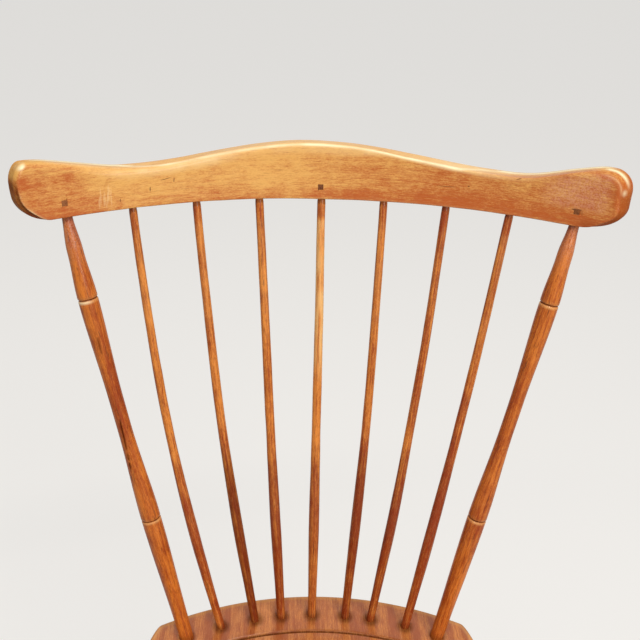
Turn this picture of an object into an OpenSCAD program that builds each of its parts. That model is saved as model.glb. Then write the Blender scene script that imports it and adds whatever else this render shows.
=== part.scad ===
// Fan back Windsor side chair with bamboo turnings.
// A carved seat carries everything: tapered, wedged legs below, and above it two stiles and
// seven spindles that fan out to a bent crest rail. All joints are round tenons in sockets.
// Millimetres. +Z is up, the sitter faces -Y, and the floor is z = 0.

/* [Seat] */
// Height of the spindle deck, the flat rear part of the seat, above the floor
seat_h = 430; // [400:1:470]
// Greatest width of the seat
seat_w = 424; // [404:2:460]
// Distance from the middle spindle to the front edge of the seat
seat_front = 366; // [340:1:400]
// Thickness of the seat plank
seat_t = 44; // [38:1:50]
// Width of the deck behind the row of spindles
deck_margin = 32; // [28:1:40]
// Width of the deck beyond each stile, along the row
deck_end = 20; // [18:1:30]
// Distance from the row of spindles forward to the carved gutter
gutter_inset = 24; // [18:1:32]
// Diameter of the gouge that cuts the gutter
gutter_d = 6; // [4:0.5:8]
// Depth of the hollow carved for the sitter
saddle_depth = 13; // [6:0.5:16]
// How far behind the front edge the seat is widest
wide_back = 120; // [100:2:150]
// Height of the bevel round the underside
bevel_h = 18; // [10:1:20]

/* [Back] */
// Rise from the spindle deck to the underside of the crest rail
back_rise = 484; // [430:1:540]
// Angle by which the middle spindle leans back
back_recline = 11.4; // [7:0.2:15]
// Plan radius of the row of spindles on the seat
deck_r = 334; // [290:2:420]
// Spacing of spindles and stiles along the row on the seat
foot_gap = 37; // [33:0.5:41]
// Spacing of spindles and stiles along the crest rail
head_gap = 63.9; // [56:0.1:66]

/* [Crest rail] */
// Length of the crest rail along its bend
crest_len = 602; // [580:1:660]
// Thickness of the crest rail
crest_t = 19; // [17:0.5:24]
// Plan radius of the bend, at mid thickness
crest_r = 492; // [420:2:700]
// Angle by which the crest rail leans back
crest_lean = 6; // [0:0.5:10]
// Height of the crown in the middle
crest_crown_h = 56; // [46:0.5:66]
// Heights of the left and right dips
crest_dip_h = [39.8, 38.4]; // [34:0.2:46]
// Heights of the left and right ears
crest_ear_h = [56, 58.4]; // [48:0.2:66]
// How far the crown stands to the right of the middle
crown_shift = -17; // [-20:1:20]
// Distance along the bend from the middle to each dip
crest_dip_at = 183; // [160:1:200]
// Distance from each end of the rail, left and right, back to the top of its ear
ear_back = [11, 17.5]; // [9:0.5:26]
// Distance from each end of the rail back to where its lower edge starts to curve up
ear_sweep = [28, 46]; // [24:1:50]
// Heights between which the ends of the rail stand upright
ear_tip_h = [24.5, 37.5]; // [20:0.5:42]
// Radius of the softened edges
crest_edge_r = 2.5; // [1.5:0.5:4]

/* [Stiles] */
// Diameter of a stile where it enters the crest rail
stile_head_d = 10; // [9:0.5:12]
// Diameter of a stile at its upper score
stile_upper_d = 19.7; // [17:0.1:24]
// Diameter of a stile at its waist
stile_waist_d = 14.7; // [13:0.1:16.5]
// Diameter of a stile at its lower score
stile_lower_d = 20.8; // [17:0.1:25]
// Diameter of a stile at the seat
stile_foot_d = 15.5; // [14:0.5:17]
// Distance from the crest rail down to the upper score
stile_score_1 = 84.5; // [70:0.5:100]
// Distance from the crest rail down to the middle of the waist
stile_waist_at = 211; // [180:1:230]
// Distance from the crest rail down to the lower score
stile_score_2 = 338; // [310:1:360]

/* [Spindles] */
// Diameter of a spindle where it enters the crest rail
spindle_head_d = 8; // [7:0.2:9]
// Diameter of a spindle halfway up
spindle_mid_d = 9.6; // [9:0.2:11]
// Greatest diameter of a spindle
spindle_swell_d = 11.6; // [10:0.2:14]
// Diameter of a spindle at the seat
spindle_foot_d = 9.4; // [8:0.2:10]
// Height of the greatest diameter above the seat
spindle_swell_up = 118; // [80:2:150]
// Sideways bow of each spindle, from left to right
spindle_bow = [-11.5, -6.5, 0, 0, 3.5, 5.5, 4]; // [-14:0.5:14]

/* [Legs] */
// Distance of the front sockets in from the widest part of the seat's sides
front_socket_in = 72; // [62:1:87]
// Distance of the front sockets behind the front edge
front_socket_y = 70; // [60:1:90]
// Distance of the rear sockets in from the widest part of the seat's sides
rear_socket_in = 114; // [104:1:127]
// Distance of the rear sockets in front of the middle spindle
rear_socket_y = 62; // [54:1:80]
// Sideways splay of the front legs
front_splay = 9.5; // [5:0.5:13]
// Forward rake of the front legs
front_rake = 6.5; // [3:0.5:9]
// Sideways splay of the rear legs
rear_splay = 10; // [5:0.5:13]
// Backward rake of the rear legs
rear_rake = 14; // [8:0.5:17]
// Diameter of a leg at the top of the seat
leg_top_d = 24; // [21:0.5:26]
// Diameter of a leg at the underside of the seat
leg_neck_d = 19; // [18:0.5:20.5]
// Diameter of a leg at its upper score
leg_upper_d = 31; // [28:0.5:36]
// Diameter of a leg between its scores
leg_waist_d = 26.5; // [25:0.5:28]
// Diameter of a leg at its lower score, where the stretcher enters
leg_lower_d = 33; // [30:0.5:38]
// Diameter of a leg at the floor
leg_foot_d = 20; // [17:0.5:25]
// Distance from the underside of the seat down to the upper score
leg_score_1 = 92; // [75:1:110]
// Distance from the floor up to the lower score, along the leg
leg_score_2 = 158; // [140:1:180]

/* [Stretchers] */
// Height of the side stretchers above the lower scores of the legs, along the leg
stretcher_up = 14; // [10:1:24]
// Diameter of a stretcher where it enters
stretcher_end_d = 14; // [12:0.5:16]
// Diameter of the middle stretcher where it enters the side stretchers
middle_d = 12.5; // [11:0.5:14]
// Diameter of a stretcher at its swelling
stretcher_swell_d = 23; // [20:0.5:28]
// How much the radius of a stretcher grows between its scores
middle_swell = 0.6; // [0:0.1:1.5]
// Distance between the two scores of a stretcher
stretcher_scores = 92; // [70:2:120]

/* [Joints] */
// Depth of the tenons in the crest rail
head_tenon = 25; // [18:1:28]
// Depth of the spindle tenons in the seat
foot_tenon = 22; // [14:1:26]
// Depth of the stretcher tenons
side_tenon = 22; // [16:1:25]
// Depth of the middle stretcher's tenons
middle_tenon = 14; // [10:1:17]
// Difference in diameter between a socket and its tenon
socket_gap = 0.1; // [0:0.05:0.4]
// Space left at the bottom of a blind socket
socket_end = 1; // [0.5:0.5:2]
// Side of the square pins that lock the crest rail
pin_w = 5.4; // [4:0.2:6]
// Heights of the left, middle and right pins above the underside of the crest rail
pin_up = [14, 11.5, 13.5]; // [10:0.5:17]
// Depth of a score cut round a turning
score_depth = 1; // [0.5:0.1:1.6]
// Width of a score
score_w = 3.2; // [2:0.2:5]
// Thickness of a wedge at its head
wedge_head = 4; // [3:0.5:6]
// Length of a wedge
wedge_len = 26; // [18:1:32]

/* [Hidden] */
$fn = 48;

// Where each hand-set spindle strays from even spacing on the seat, along the row
spindle_drift = [4, 7, 1, 0, 2, -5, -1];
// Position of the stiles in the row, whose middle spindle is 0
stile_k = 4;
// Straight steps in each swelling of a turning
turn_steps = 6;
// Sides of a bowed spindle's shaft
shaft_sides = 16;
// How far a bowed spindle's tenons show at both ends of its shaft, how far they run on inside it, and
// how far the shaft stands out from them
tenon_shows = 3;
tenon_lap = 1;
tenon_ledge = 0.1;
// Straight steps across a score
score_steps = 2;
// Stations of the crest rail from its middle to one end
crest_steps = 30;
// Points on each rounded corner of the crest rail's section
corner_steps = 3;
// Steps in each stretch of the seat's outline
outline_steps = 11;
// Margin by which a cutting body passes the surface that it cuts
past = 4;
// Angle from the plane of an axis's lean round to the seam of its turning
seam_turn = 62;
// A length longer than any piece
far = 1200;
// Half of the distance over which the slope of the carved seat is taken
slope_step = 6;

sapwood = [0.80, 0.55, 0.28];
maple = [0.70, 0.42, 0.20];
hickory = [0.62, 0.33, 0.15];
pine = [0.66, 0.42, 0.22];
dark_pin = [0.30, 0.17, 0.09];

function mix(a, b, t) = a + (b - a) * t;
function ease(t) = (1 - cos(180 * max(0, min(1, t)))) / 2;
function unit(v) = v / norm(v);
function quarter(t) = sqrt(max(0, 1 - t * t));
function bezier(a, b, c, d, t) =
    a * pow(1 - t, 3) + 3 * b * pow(1 - t, 2) * t + 3 * c * (1 - t) * t * t + d * pow(t, 3);

// Turnings

// Outline of a turning through its stations, each a distance and a radius, eased between them
function swelled(stations, steps = turn_steps) = [
    for (i = [0 : len(stations) - 2])
        for (j = [0 : steps - 1])
            let (t = j / steps)
            [mix(stations[i][0], stations[i + 1][0], t), mix(stations[i][1], stations[i + 1][1], ease(t))]
];

// Outline of a score round a turning of radius r
function scored(at, r) = swelled([[at - score_w / 2, r], [at, r - score_depth], [at + score_w / 2, r]],
    score_steps);

// Draws children, which point along +Z, from point p towards point q
module along(p, q) {
    d = unit(q - p);
    translate(p) rotate([0, acos(d[2]), atan2(d[1], d[0])]) children();
}

// Solid of revolution from an outline of [distance, radius] points along +Z. Its seam stands off the
// plane in which the axis leans, where level cuts are longest.
module turn(outline) {
    first = outline[0];
    last = outline[len(outline) - 1];
    rotate([0, 0, seam_turn])
        rotate_extrude() polygon(concat([[0, first[0]]], [for (p = outline) [p[1], p[0]]], [[0, last[0]]]));
}

// Solid through rings of n points each, which turn anticlockwise where the next ring lies in front
module skin(points, n) {
    last = len(points) / n - 1;
    sides = [for (i = [0 : last - 1]) for (j = [0 : n - 1])
        let (a = i * n + j, b = i * n + (j + 1) % n)
        each [[a, b + n, b], [a, a + n, b + n]]];
    first_cap = [[for (j = [0 : n - 1]) j]];
    last_cap = [[for (j = [n - 1 : -1 : 0]) last * n + j]];
    polyhedron(points, concat(first_cap, sides, last_cap), convexity = 8);
}

// Round bar from distance a to distance b along +Z
module bar(a, b, d) {
    translate([0, 0, a]) cylinder(d = d, h = b - a);
}

// The row of spindles and stiles

stile_turn = stile_k * foot_gap / deck_r * 180 / PI;
function drift(k) = abs(k) == stile_k ? 0 : spindle_drift[k + 3];
function bow(k) = abs(k) == stile_k ? 0 : spindle_bow[k + 3];
function row_foot(k) =
    let (a = (k * foot_gap + drift(k)) / deck_r * 180 / PI)
    [deck_r * sin(a), deck_r * (cos(a) - 1), seat_h];
function row_head(k) = crest_point(k * head_gap, 0, 0);
function row_axis(k) = unit(row_foot(k) - row_head(k));
function row_length(k) = norm(row_foot(k) - row_head(k));
// Point of a piece's axis at share t of the way from the crest rail to the seat, and its direction there
function row_point(k, t) = mix(row_head(k), row_foot(k), t) + [bow(k) * sin(180 * t), 0, 0];
function row_way(k, t) = unit(row_foot(k) - row_head(k) + [PI * bow(k) * cos(180 * t), 0, 0]);

// Crest rail

crest_half = crest_len / 2;
// How late the rise from a dip to its ear sets in, where 1 is even
ear_lag = 1.2;
// Greatest radius of the softened edges, as a share of the rail's height
corner_share = 0.45;
// Distance from the very end of the rail to its last station
tip_inset = 0.15;
// How far each end of a pin lies below the face of the rail
pin_sunk = 0.2;

// Point of the rail at distance s along the bend, d behind its middle surface and z up its slope
function crest_point(s, d, z) =
    let (
        a = s / crest_r * 180 / PI,
        r = crest_r + d * cos(crest_lean) + z * sin(crest_lean)
    )
    [
        r * sin(a),
        r * cos(a) - crest_r + back_rise * tan(back_recline),
        seat_h + back_rise + z * cos(crest_lean) - d * sin(crest_lean)
    ];

// Height of the rail's upper edge at distance s along the bend
function crest_top(s) =
    let (
        a = abs(s),
        end = s < 0 ? 0 : 1,
        ear_at = crest_half - ear_back[end],
        flank = s < crown_shift ? 0 : 1,
        from_crown = abs(s - crown_shift) / (crest_dip_at + (flank == 0 ? crown_shift : -crown_shift)),
        from_dip = (a - crest_dip_at) / (ear_at - crest_dip_at),
        from_ear = (a - ear_at) / ear_back[end]
    )
    a <= crest_dip_at ? mix(crest_crown_h, crest_dip_h[flank], ease(from_crown))
    : a <= ear_at ? mix(crest_dip_h[end], crest_ear_h[end], pow(ease(from_dip), ear_lag))
    : mix(ear_tip_h[1], crest_ear_h[end], quarter(from_ear));

// Height of the rail's lower edge at distance s along the bend
function crest_bottom(s) =
    let (sweep = ear_sweep[s < 0 ? 0 : 1])
    ear_tip_h[0] * (1 - quarter(max(0, (abs(s) - crest_half + sweep) / sweep)));

// Half thickness of the rail, drawn in where the ends are rounded over
function crest_depth(s) =
    let (left = min(crest_edge_r, crest_half - abs(s)))
    crest_t / 2 - crest_edge_r + sqrt(pow(crest_edge_r, 2) - pow(crest_edge_r - left, 2));

// Rounded section of the rail at distance s, as [d, z] points
function crest_section(s) =
    let (
        top = crest_top(s),
        low = crest_bottom(s),
        h = crest_depth(s),
        r = min(crest_edge_r, corner_share * (top - low)),
        corners = [[h - r, top - r, 0], [r - h, top - r, 90], [r - h, low + r, 180], [h - r, low + r, 270]]
    )
    [for (c = corners) for (j = [0 : corner_steps])
        let (a = c[2] + 90 * j / corner_steps) [c[0] + r * cos(a), c[1] + r * sin(a)]];

// Stations along the bend, closer together towards the rounded ends
crest_stations = [for (i = [-crest_steps : crest_steps])
    let (u = i / crest_steps) (crest_half - tip_inset) * (1.5 * u - 0.5 * pow(u, 3))];
crest_points = [for (s = crest_stations) for (p = crest_section(s)) crest_point(s, p[0], p[1])];

module crest_blank() {
    skin(crest_points, 4 * (corner_steps + 1));
}

// Places children at a pin, with +Z pointing out of the front face
module at_pin(k) {
    rise = pin_up[k / stile_k + 1] / -row_axis(k)[2];
    p = row_head(k) - row_axis(k) * rise;
    a = atan2(p[0], p[1] - back_rise * tan(back_recline) + crest_r);
    translate(p) rotate([0, 0, -a]) rotate([90 + crest_lean, 0, 0]) children();
}

module pin_body(side, length) {
    cube([side, side, length], center = true);
}

module pin_hole(k) {
    at_pin(k) pin_body(pin_w + socket_gap, 3 * crest_t);
}

// Cuts in the rail for the tenon of piece k
module head_socket(k, d) {
    along(row_head(k), row_head(k) + row_way(k, 0))
        bar(-head_tenon - socket_end, 2 * crest_edge_r, d + socket_gap);
}

module crest_rail() {
    color(sapwood) place() difference() {
        crest_blank();
        for (k = [1 - stile_k : stile_k - 1]) head_socket(k, spindle_head_d);
        for (k = [-stile_k, stile_k]) head_socket(k, stile_head_d);
        for (k = [-stile_k, 0, stile_k]) pin_hole(k);
    }
}

module crest_pin(k) {
    color(dark_pin) place() at_pin(k) pin_body(pin_w, crest_t - 2 * pin_sunk);
}

// Stiles and spindles

// Diameter of a stile's tenon where it would end, as a share of its diameter at the seat
stile_taper = 0.92;
// A stile's shoulder, between the crest rail and the upper score: its share of the way, and the
// share of the growth that is reached there
shoulder_at = 0.42;
shoulder_grown = 0.55;
// Half length of a stile's waist
waist_half = 15;
function stile_outline(length) = concat(
    [[-head_tenon, stile_head_d / 2]],
    swelled([
        [0, stile_head_d / 2],
        [stile_score_1 * shoulder_at, mix(stile_head_d, stile_upper_d, shoulder_grown) / 2],
        [stile_score_1 - score_w / 2, stile_upper_d / 2]
    ]),
    scored(stile_score_1, stile_upper_d / 2),
    swelled([
        [stile_score_1 + score_w / 2, stile_upper_d / 2],
        [stile_waist_at - waist_half, stile_waist_d / 2],
        [stile_waist_at + waist_half, stile_waist_d / 2],
        [stile_score_2 - score_w / 2, stile_lower_d / 2]
    ]),
    scored(stile_score_2, stile_lower_d / 2),
    swelled([[stile_score_2 + score_w / 2, stile_lower_d / 2], [length, stile_foot_d / 2]]),
    [[length, stile_foot_d / 2], [length + 1.5 * seat_t, stile_foot_d / 2 * stile_taper]]
);

module stile_body(k) {
    along(row_head(k), row_foot(k)) turn(stile_outline(row_length(k)));
}

module stile(k) {
    color(maple) place() difference() {
        stile_body(k);
        pin_hole(k);
        below_seat();
        stile_wedge_space(k);
    }
}

function spindle_outline(length) = concat(
    [[-head_tenon, spindle_head_d / 2]],
    swelled([
        [0, spindle_head_d / 2],
        [length / 2, spindle_mid_d / 2],
        [length - spindle_swell_up, spindle_swell_d / 2],
        [length, spindle_foot_d / 2]
    ]),
    [[length, spindle_foot_d / 2], [length + foot_tenon, spindle_foot_d / 2]]
);

module straight_spindle(k) {
    along(row_head(k), row_foot(k)) turn(spindle_outline(row_length(k)));
}

// Points round a bowed spindle's shaft at distance d from the crest rail, with flats r from its axis
function shaft_ring(k, d, r) =
    let (
        t = d / row_length(k),
        w = row_way(k, t),
        u = unit(cross([0, 1, 0], w)),
        v = cross(w, u),
        reach = r / cos(180 / shaft_sides)
    )
    [for (j = [0 : shaft_sides - 1])
        let (a = 360 * j / shaft_sides) row_point(k, t) + reach * (cos(a) * u + sin(a) * v)];

// Spindle sprung sideways between straight tenons, which follow its bow at both ends
module bowed_spindle(k) {
    length = row_length(k);
    first = [tenon_shows, spindle_head_d / 2 + tenon_ledge];
    last = [length - tenon_shows, spindle_foot_d / 2 + tenon_ledge];
    stations = concat(
        swelled([
            first,
            [length / 2, spindle_mid_d / 2],
            [length - spindle_swell_up, spindle_swell_d / 2],
            last
        ]),
        [last]
    );
    skin([for (p = stations) each shaft_ring(k, p[0], p[1])], shaft_sides);
    along(row_head(k), row_head(k) + row_way(k, 0)) bar(-head_tenon, tenon_shows + tenon_lap, spindle_head_d);
    along(row_foot(k), row_foot(k) + row_way(k, 1)) bar(-tenon_shows - tenon_lap, foot_tenon, spindle_foot_d);
}

module spindle(k) {
    color(hickory) place() difference() {
        if (bow(k) == 0) straight_spindle(k);
        else bowed_spindle(k);
        if (k == 0) pin_hole(k);
    }
}

// Seat

seat_low = seat_h - seat_t;
seat_middle = [0, (deck_margin - seat_front) / 2];
seat_back_r = deck_r + deck_margin;
seat_corner = stile_turn + deck_end / seat_back_r * 180 / PI;
// Reach of the curves that round the rear corners and fill out the sides
corner_reach = 17;
side_reach = 70;
// How far the front corners fill the rectangle round them, along the side and along the front
side_fill = 0.72;
front_fill = 0.62;

// Half of the outline, from the middle of the rear edge round the right side to the front
seat_half_outline =
    let (
        rear = [for (i = [0 : outline_steps - 1])
            let (a = seat_corner * i / outline_steps) [seat_back_r * sin(a), seat_back_r * cos(a) - deck_r]],
        a = [seat_back_r * sin(seat_corner), seat_back_r * cos(seat_corner) - deck_r],
        tangent = [cos(seat_corner), -sin(seat_corner)],
        b = [seat_w / 2, wide_back - seat_front],
        c = [0, -seat_front],
        side = [for (i = [0 : outline_steps - 1])
            bezier(a, a + corner_reach * tangent, b + [0, side_reach], b, i / outline_steps)],
        front = [for (i = [0 : outline_steps])
            bezier(b, b - [0, side_fill * wide_back], c + [front_fill * seat_w / 2, 0], c, i / outline_steps)]
    )
    concat(rear, side, front);
seat_outline =
    let (last = len(seat_half_outline) - 1)
    concat(seat_half_outline, [for (i = [last - 1 : -1 : 1]) [-seat_half_outline[i][0], seat_half_outline[i][1]]]);

// Distance ahead of the gutter over which the hollow deepens
hollow_run = 90;
// Where the front of the seat begins and over how much it turns, as shares of its depth
front_from = 0.47;
front_run = 0.42;
// Share of the way to the outline at which the rim starts to rise, and how far it opens in front
rim_from = 0.55;
front_open = 0.75;
// Half width of the pommel, and the share of the hollow that it fills
pommel_w = 34;
pommel_share = 0.8;

// Depth of the carving at a point of the seat, where r is 0 in the middle and 1 at the outline
function carved(x, y, r) =
    let (
        ahead = deck_r - gutter_inset - gutter_d / 2 - norm([x, y + deck_r]),
        front = ease((-y / seat_front - front_from) / front_run),
        rim = ease((r - rim_from) / (1 - rim_from)) * (1 - front_open * front),
        pommel = pommel_share * exp(-pow(x / pommel_w, 2)) * front
    )
    saddle_depth * ease(ahead / hollow_run) * (1 - rim) * (1 - pommel);

// Height of the seat's surface at distance r of the way from its middle to outline point p
function seat_top(p, r) =
    let (q = mix(seat_middle, p, r))
    seat_h - carved(q[0], q[1], r);

// How far along the way from the middle to the outline the point [x, y] lies
function seat_share(x, y) =
    let (
        v = [x, y] - seat_middle,
        n = len(seat_outline),
        hits = [for (i = [0 : n - 1])
            let (
                a = seat_outline[i] - seat_middle,
                e = seat_outline[(i + 1) % n] - seat_outline[i],
                det = v[0] * -e[1] + e[0] * v[1],
                t = (a[0] * -e[1] + e[0] * a[1]) / det,
                u = (v[0] * a[1] - v[1] * a[0]) / det
            )
            if (t > 0 && u >= 0 && u <= 1) t]
    )
    1 / min(hits);

function surface_at(x, y) = seat_h - carved(x, y, seat_share(x, y));

// Rings of the seat's top, as shares of the way from its middle to its outline
rings = [0.14, 0.27, 0.39, 0.5, 0.6, 0.69, 0.77, 0.84, 0.9, 0.95, 0.985];
// Drop of the top's rounded edge
top_edge = 4;
// Each layer from the middle of the top to the middle of the underside: share of the outline,
// whether it follows the carved top, and its drop below that top or rise above the underside
seat_layers = concat(
    [for (r = rings) [r, true, r > 0.98 ? 1 : 0]],
    [[1, true, top_edge], [1, false, bevel_h], [0.975, false, bevel_h * 0.5], [0.9, false, 0], [0.45, false, 0]]
);
seat_points = concat(
    [[seat_middle[0], seat_middle[1], seat_top(seat_middle, 0)]],
    [for (layer = seat_layers) for (p = seat_outline)
        let (q = mix(seat_middle, p, layer[0]))
        [q[0], q[1], layer[1] ? seat_top(p, layer[0]) - layer[2] : seat_low + layer[2]]],
    [[seat_middle[0], seat_middle[1], seat_low]]
);

module seat_blank() {
    n = len(seat_outline);
    last = len(seat_points) - 1;
    base = last - n;
    top_fan = [for (j = [0 : n - 1]) [0, 1 + j, 1 + (j + 1) % n]];
    walls = [for (i = [0 : len(seat_layers) - 2]) for (j = [0 : n - 1])
        let (a = 1 + i * n + j, b = 1 + i * n + (j + 1) % n)
        each [[a, a + n, b + n], [a, b + n, b]]];
    low_fan = [for (j = [0 : n - 1]) [base + j, last, base + (j + 1) % n]];
    polyhedron(seat_points, concat(top_fan, walls, low_fan), convexity = 6);
}

// Angle by which the gutter runs to each side, past the edge of the seat
gutter_reach = 52;

// Gutter carved in front of the spindles, from side to side
module gutter() {
    lift = gutter_d / 6;
    translate([0, -deck_r, seat_h + lift]) rotate([0, 0, 90 - gutter_reach])
        rotate_extrude(angle = 2 * gutter_reach, $fn = 96)
            translate([deck_r - gutter_inset, 0]) circle(d = gutter_d, $fn = 24);
}

module seat() {
    color(pine) place() difference() {
        seat_blank();
        gutter();
        for (k = [1 - stile_k : stile_k - 1])
            along(row_foot(k), row_foot(k) + row_way(k, 1))
                bar(-past, foot_tenon + socket_end, spindle_foot_d + socket_gap);
        for (k = [-stile_k, stile_k]) stile_bore(k);
        for (leg = leg_list) leg_bore(leg);
    }
}

// Tapered hole for a stile, right through the seat
module stile_bore(k) {
    length = row_length(k);
    gap = socket_gap / 2;
    along(row_head(k), row_foot(k)) turn([
        [length - past, stile_foot_d / 2 + gap],
        [length, stile_foot_d / 2 + gap],
        [length + 1.5 * seat_t, stile_foot_d / 2 * stile_taper + gap]
    ]);
}

// Everything below the underside of the seat, which the through tenons are cut flush with
module below_seat() {
    translate([-far / 2, -far / 2, seat_low - far]) cube([far, far, far]);
}

// Wedges of the stiles, driven up from the underside
module wedge_shape(head, length, width) {
    tip = wedge_head / 7;
    rotate([90, 0, 0]) linear_extrude(width, center = true)
        polygon([[-head / 2, 0], [head / 2, 0], [tip / 2, length], [-tip / 2, length]]);
}

module stile_wedge_space(k) {
    exit = row_head(k) + row_axis(k) * (seat_h + back_rise - seat_low) / -row_axis(k)[2];
    along(exit, row_head(k)) translate([0, 0, -past]) {
        wedge_shape(wedge_head * (1 + past / wedge_len), wedge_len + past, 3 * stile_foot_d);
    }
}

module stile_wedge(k) {
    color(sapwood) place() difference() {
        intersection() {
            stile_body(k);
            stile_wedge_space(k);
        }
        below_seat();
    }
}

// Legs

front_socket_x = seat_w / 2 - front_socket_in;
rear_socket_x = seat_w / 2 - rear_socket_in;
// Each leg: side, socket x, socket y, splay and rake as they move the foot
leg_list = [
    [-1, front_socket_x, front_socket_y - seat_front, front_splay, -front_rake],
    [1, front_socket_x, front_socket_y - seat_front, front_splay, -front_rake],
    [-1, rear_socket_x, -rear_socket_y, rear_splay, rear_rake],
    [1, rear_socket_x, -rear_socket_y, rear_splay, rear_rake]
];
function leg_top(leg) = [leg[0] * leg[1], leg[2], seat_h];
function leg_foot(leg) = leg_top(leg) + [leg[0] * seat_h * tan(leg[3]), seat_h * tan(leg[4]), -seat_h];
function leg_length(leg) = norm(leg_top(leg) - leg_foot(leg));
// Lengths along the leg, from the foot, of the underside and of the top of the seat
function leg_under(leg) = leg_length(leg) * seat_low / seat_h;
function leg_at(leg, up) = leg_foot(leg) + unit(leg_top(leg) - leg_foot(leg)) * up;

function leg_outline(leg) =
    let (under = leg_under(leg), length = leg_length(leg), upper = under - leg_score_1)
    concat(
        [[-2 * leg_foot_d, leg_foot_d / 2]],
        swelled([[0, leg_foot_d / 2], [leg_score_2 - score_w / 2, leg_lower_d / 2]]),
        scored(leg_score_2, leg_lower_d / 2),
        swelled([
            [leg_score_2 + score_w / 2, leg_lower_d / 2],
            [mix(leg_score_2, upper, 0.5), leg_waist_d / 2],
            [upper - score_w / 2, leg_upper_d / 2]
        ]),
        scored(upper, leg_upper_d / 2),
        swelled([[upper + score_w / 2, leg_upper_d / 2], [under, leg_neck_d / 2]]),
        [[under, leg_neck_d / 2], [length + past, leg_top_d / 2]]
    );

module leg_body(leg) {
    along(leg_foot(leg), leg_top(leg)) turn(leg_outline(leg));
}

// Hole for a leg: it widens towards the top of the seat, where the wedge spreads the tenon
module leg_bore(leg) {
    gap = socket_gap / 2;
    under = leg_under(leg);
    length = leg_length(leg);
    run = length + past - under;
    widen = (leg_top_d - leg_neck_d) / 2 / run;
    along(leg_foot(leg), leg_top(leg)) turn([
        [under - 3 * past, leg_neck_d / 2 + gap],
        [under, leg_neck_d / 2 + gap],
        [length + 3 * past, leg_top_d / 2 + gap + widen * 2 * past]
    ]);
}

// Everything above the carved surface at a leg, which the tenon is cut flush with
module above_seat(leg) {
    top = leg_top(leg);
    z = surface_at(top[0], top[1]);
    fall_x = surface_at(top[0] - slope_step, top[1]) - surface_at(top[0] + slope_step, top[1]);
    fall_y = surface_at(top[0], top[1] - slope_step) - surface_at(top[0], top[1] + slope_step);
    n = unit([fall_x, fall_y, 2 * slope_step]);
    translate([top[0], top[1], z]) rotate([0, acos(n[2]), atan2(n[1], n[0])])
        translate([-far / 2, -far / 2, 0]) cube([far, far, far]);
}

module below_floor() {
    translate([-far / 2, -far / 2, -far]) cube([far, far, far]);
}

module leg_wedge_space(leg) {
    top = leg_top(leg);
    z = surface_at(top[0], top[1]);
    head = leg_at(leg, leg_length(leg) * z / seat_h);
    along(head, leg_foot(leg)) rotate([0, 0, 90 - atan2(head[1] - leg_foot(leg)[1], head[0] - leg_foot(leg)[0])])
        translate([0, 0, -past])
            wedge_shape(wedge_head * (1 + past / wedge_len), wedge_len + past, 3 * leg_top_d);
}

module leg_socket(leg) {
    i = leg[0] < 0 ? 0 : 1;
    front = stretcher_end(leg_list[i]);
    rear = stretcher_end(leg_list[i + 2]);
    near = leg[4] < 0 ? front : rear;
    other = leg[4] < 0 ? rear : front;
    inner = leg_lower_d / 2;
    along(near, other) bar(inner - side_tenon - socket_end, leg_lower_d, stretcher_end_d + socket_gap);
}

module leg(i) {
    leg = leg_list[i];
    color(maple) place() difference() {
        leg_body(leg);
        above_seat(leg);
        below_floor();
        leg_wedge_space(leg);
        leg_socket(leg);
    }
}

module leg_wedge(i) {
    leg = leg_list[i];
    color(sapwood) place() difference() {
        intersection() {
            leg_body(leg);
            leg_wedge_space(leg);
        }
        above_seat(leg);
    }
}

// Stretchers

function stretcher_end(leg) = leg_at(leg, leg_score_2 + stretcher_up);

// Outline of a stretcher from axis to axis of what it joins, which it enters at distance inset
function stretcher_outline(length, inset, tenon, end_d) =
    let (mid = length / 2, half = stretcher_scores / 2, full = stretcher_swell_d / 2)
    concat(
        [[inset - tenon, end_d / 2]],
        swelled([[inset, end_d / 2], [mid - half - score_w / 2, full]]),
        scored(mid - half, full),
        [[mid - half + score_w / 2, full], [mid, full + middle_swell]],
        scored(mid + half, full),
        swelled([[mid + half + score_w / 2, full], [length - inset, end_d / 2]]),
        [[length - inset, end_d / 2], [length - inset + tenon, end_d / 2]]
    );

function side_ends(side) =
    let (i = side < 0 ? 0 : 1)
    [stretcher_end(leg_list[i]), stretcher_end(leg_list[i + 2])];
function side_middle(side) = (side_ends(side)[0] + side_ends(side)[1]) / 2;

module side_stretcher(side) {
    ends = side_ends(side);
    color(maple) place() difference() {
        along(ends[0], ends[1])
            turn(stretcher_outline(norm(ends[1] - ends[0]), leg_lower_d / 2, side_tenon, stretcher_end_d));
        along(side_middle(side), side_middle(-side))
            bar(stretcher_swell_d / 2 - middle_tenon - socket_end, stretcher_swell_d, middle_d + socket_gap);
    }
}

module centre_stretcher() {
    length = norm(side_middle(1) - side_middle(-1));
    color(maple) place() along(side_middle(-1), side_middle(1))
        turn(stretcher_outline(length, stretcher_swell_d / 2, middle_tenon, middle_d));
}

// The chair is drawn from its middle spindle's foot, then moved so that its box is centred
front_y = min([for (p = seat_points) p[1]]);
foot_front_y = leg_foot(leg_list[0])[1] - leg_foot_d / 2;
back_y = max([for (p = crest_points) p[1]]);
centre_y = (min(front_y, foot_front_y) + back_y) / 2;

module place() {
    translate([0, -centre_y, 0]) children();
}

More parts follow.
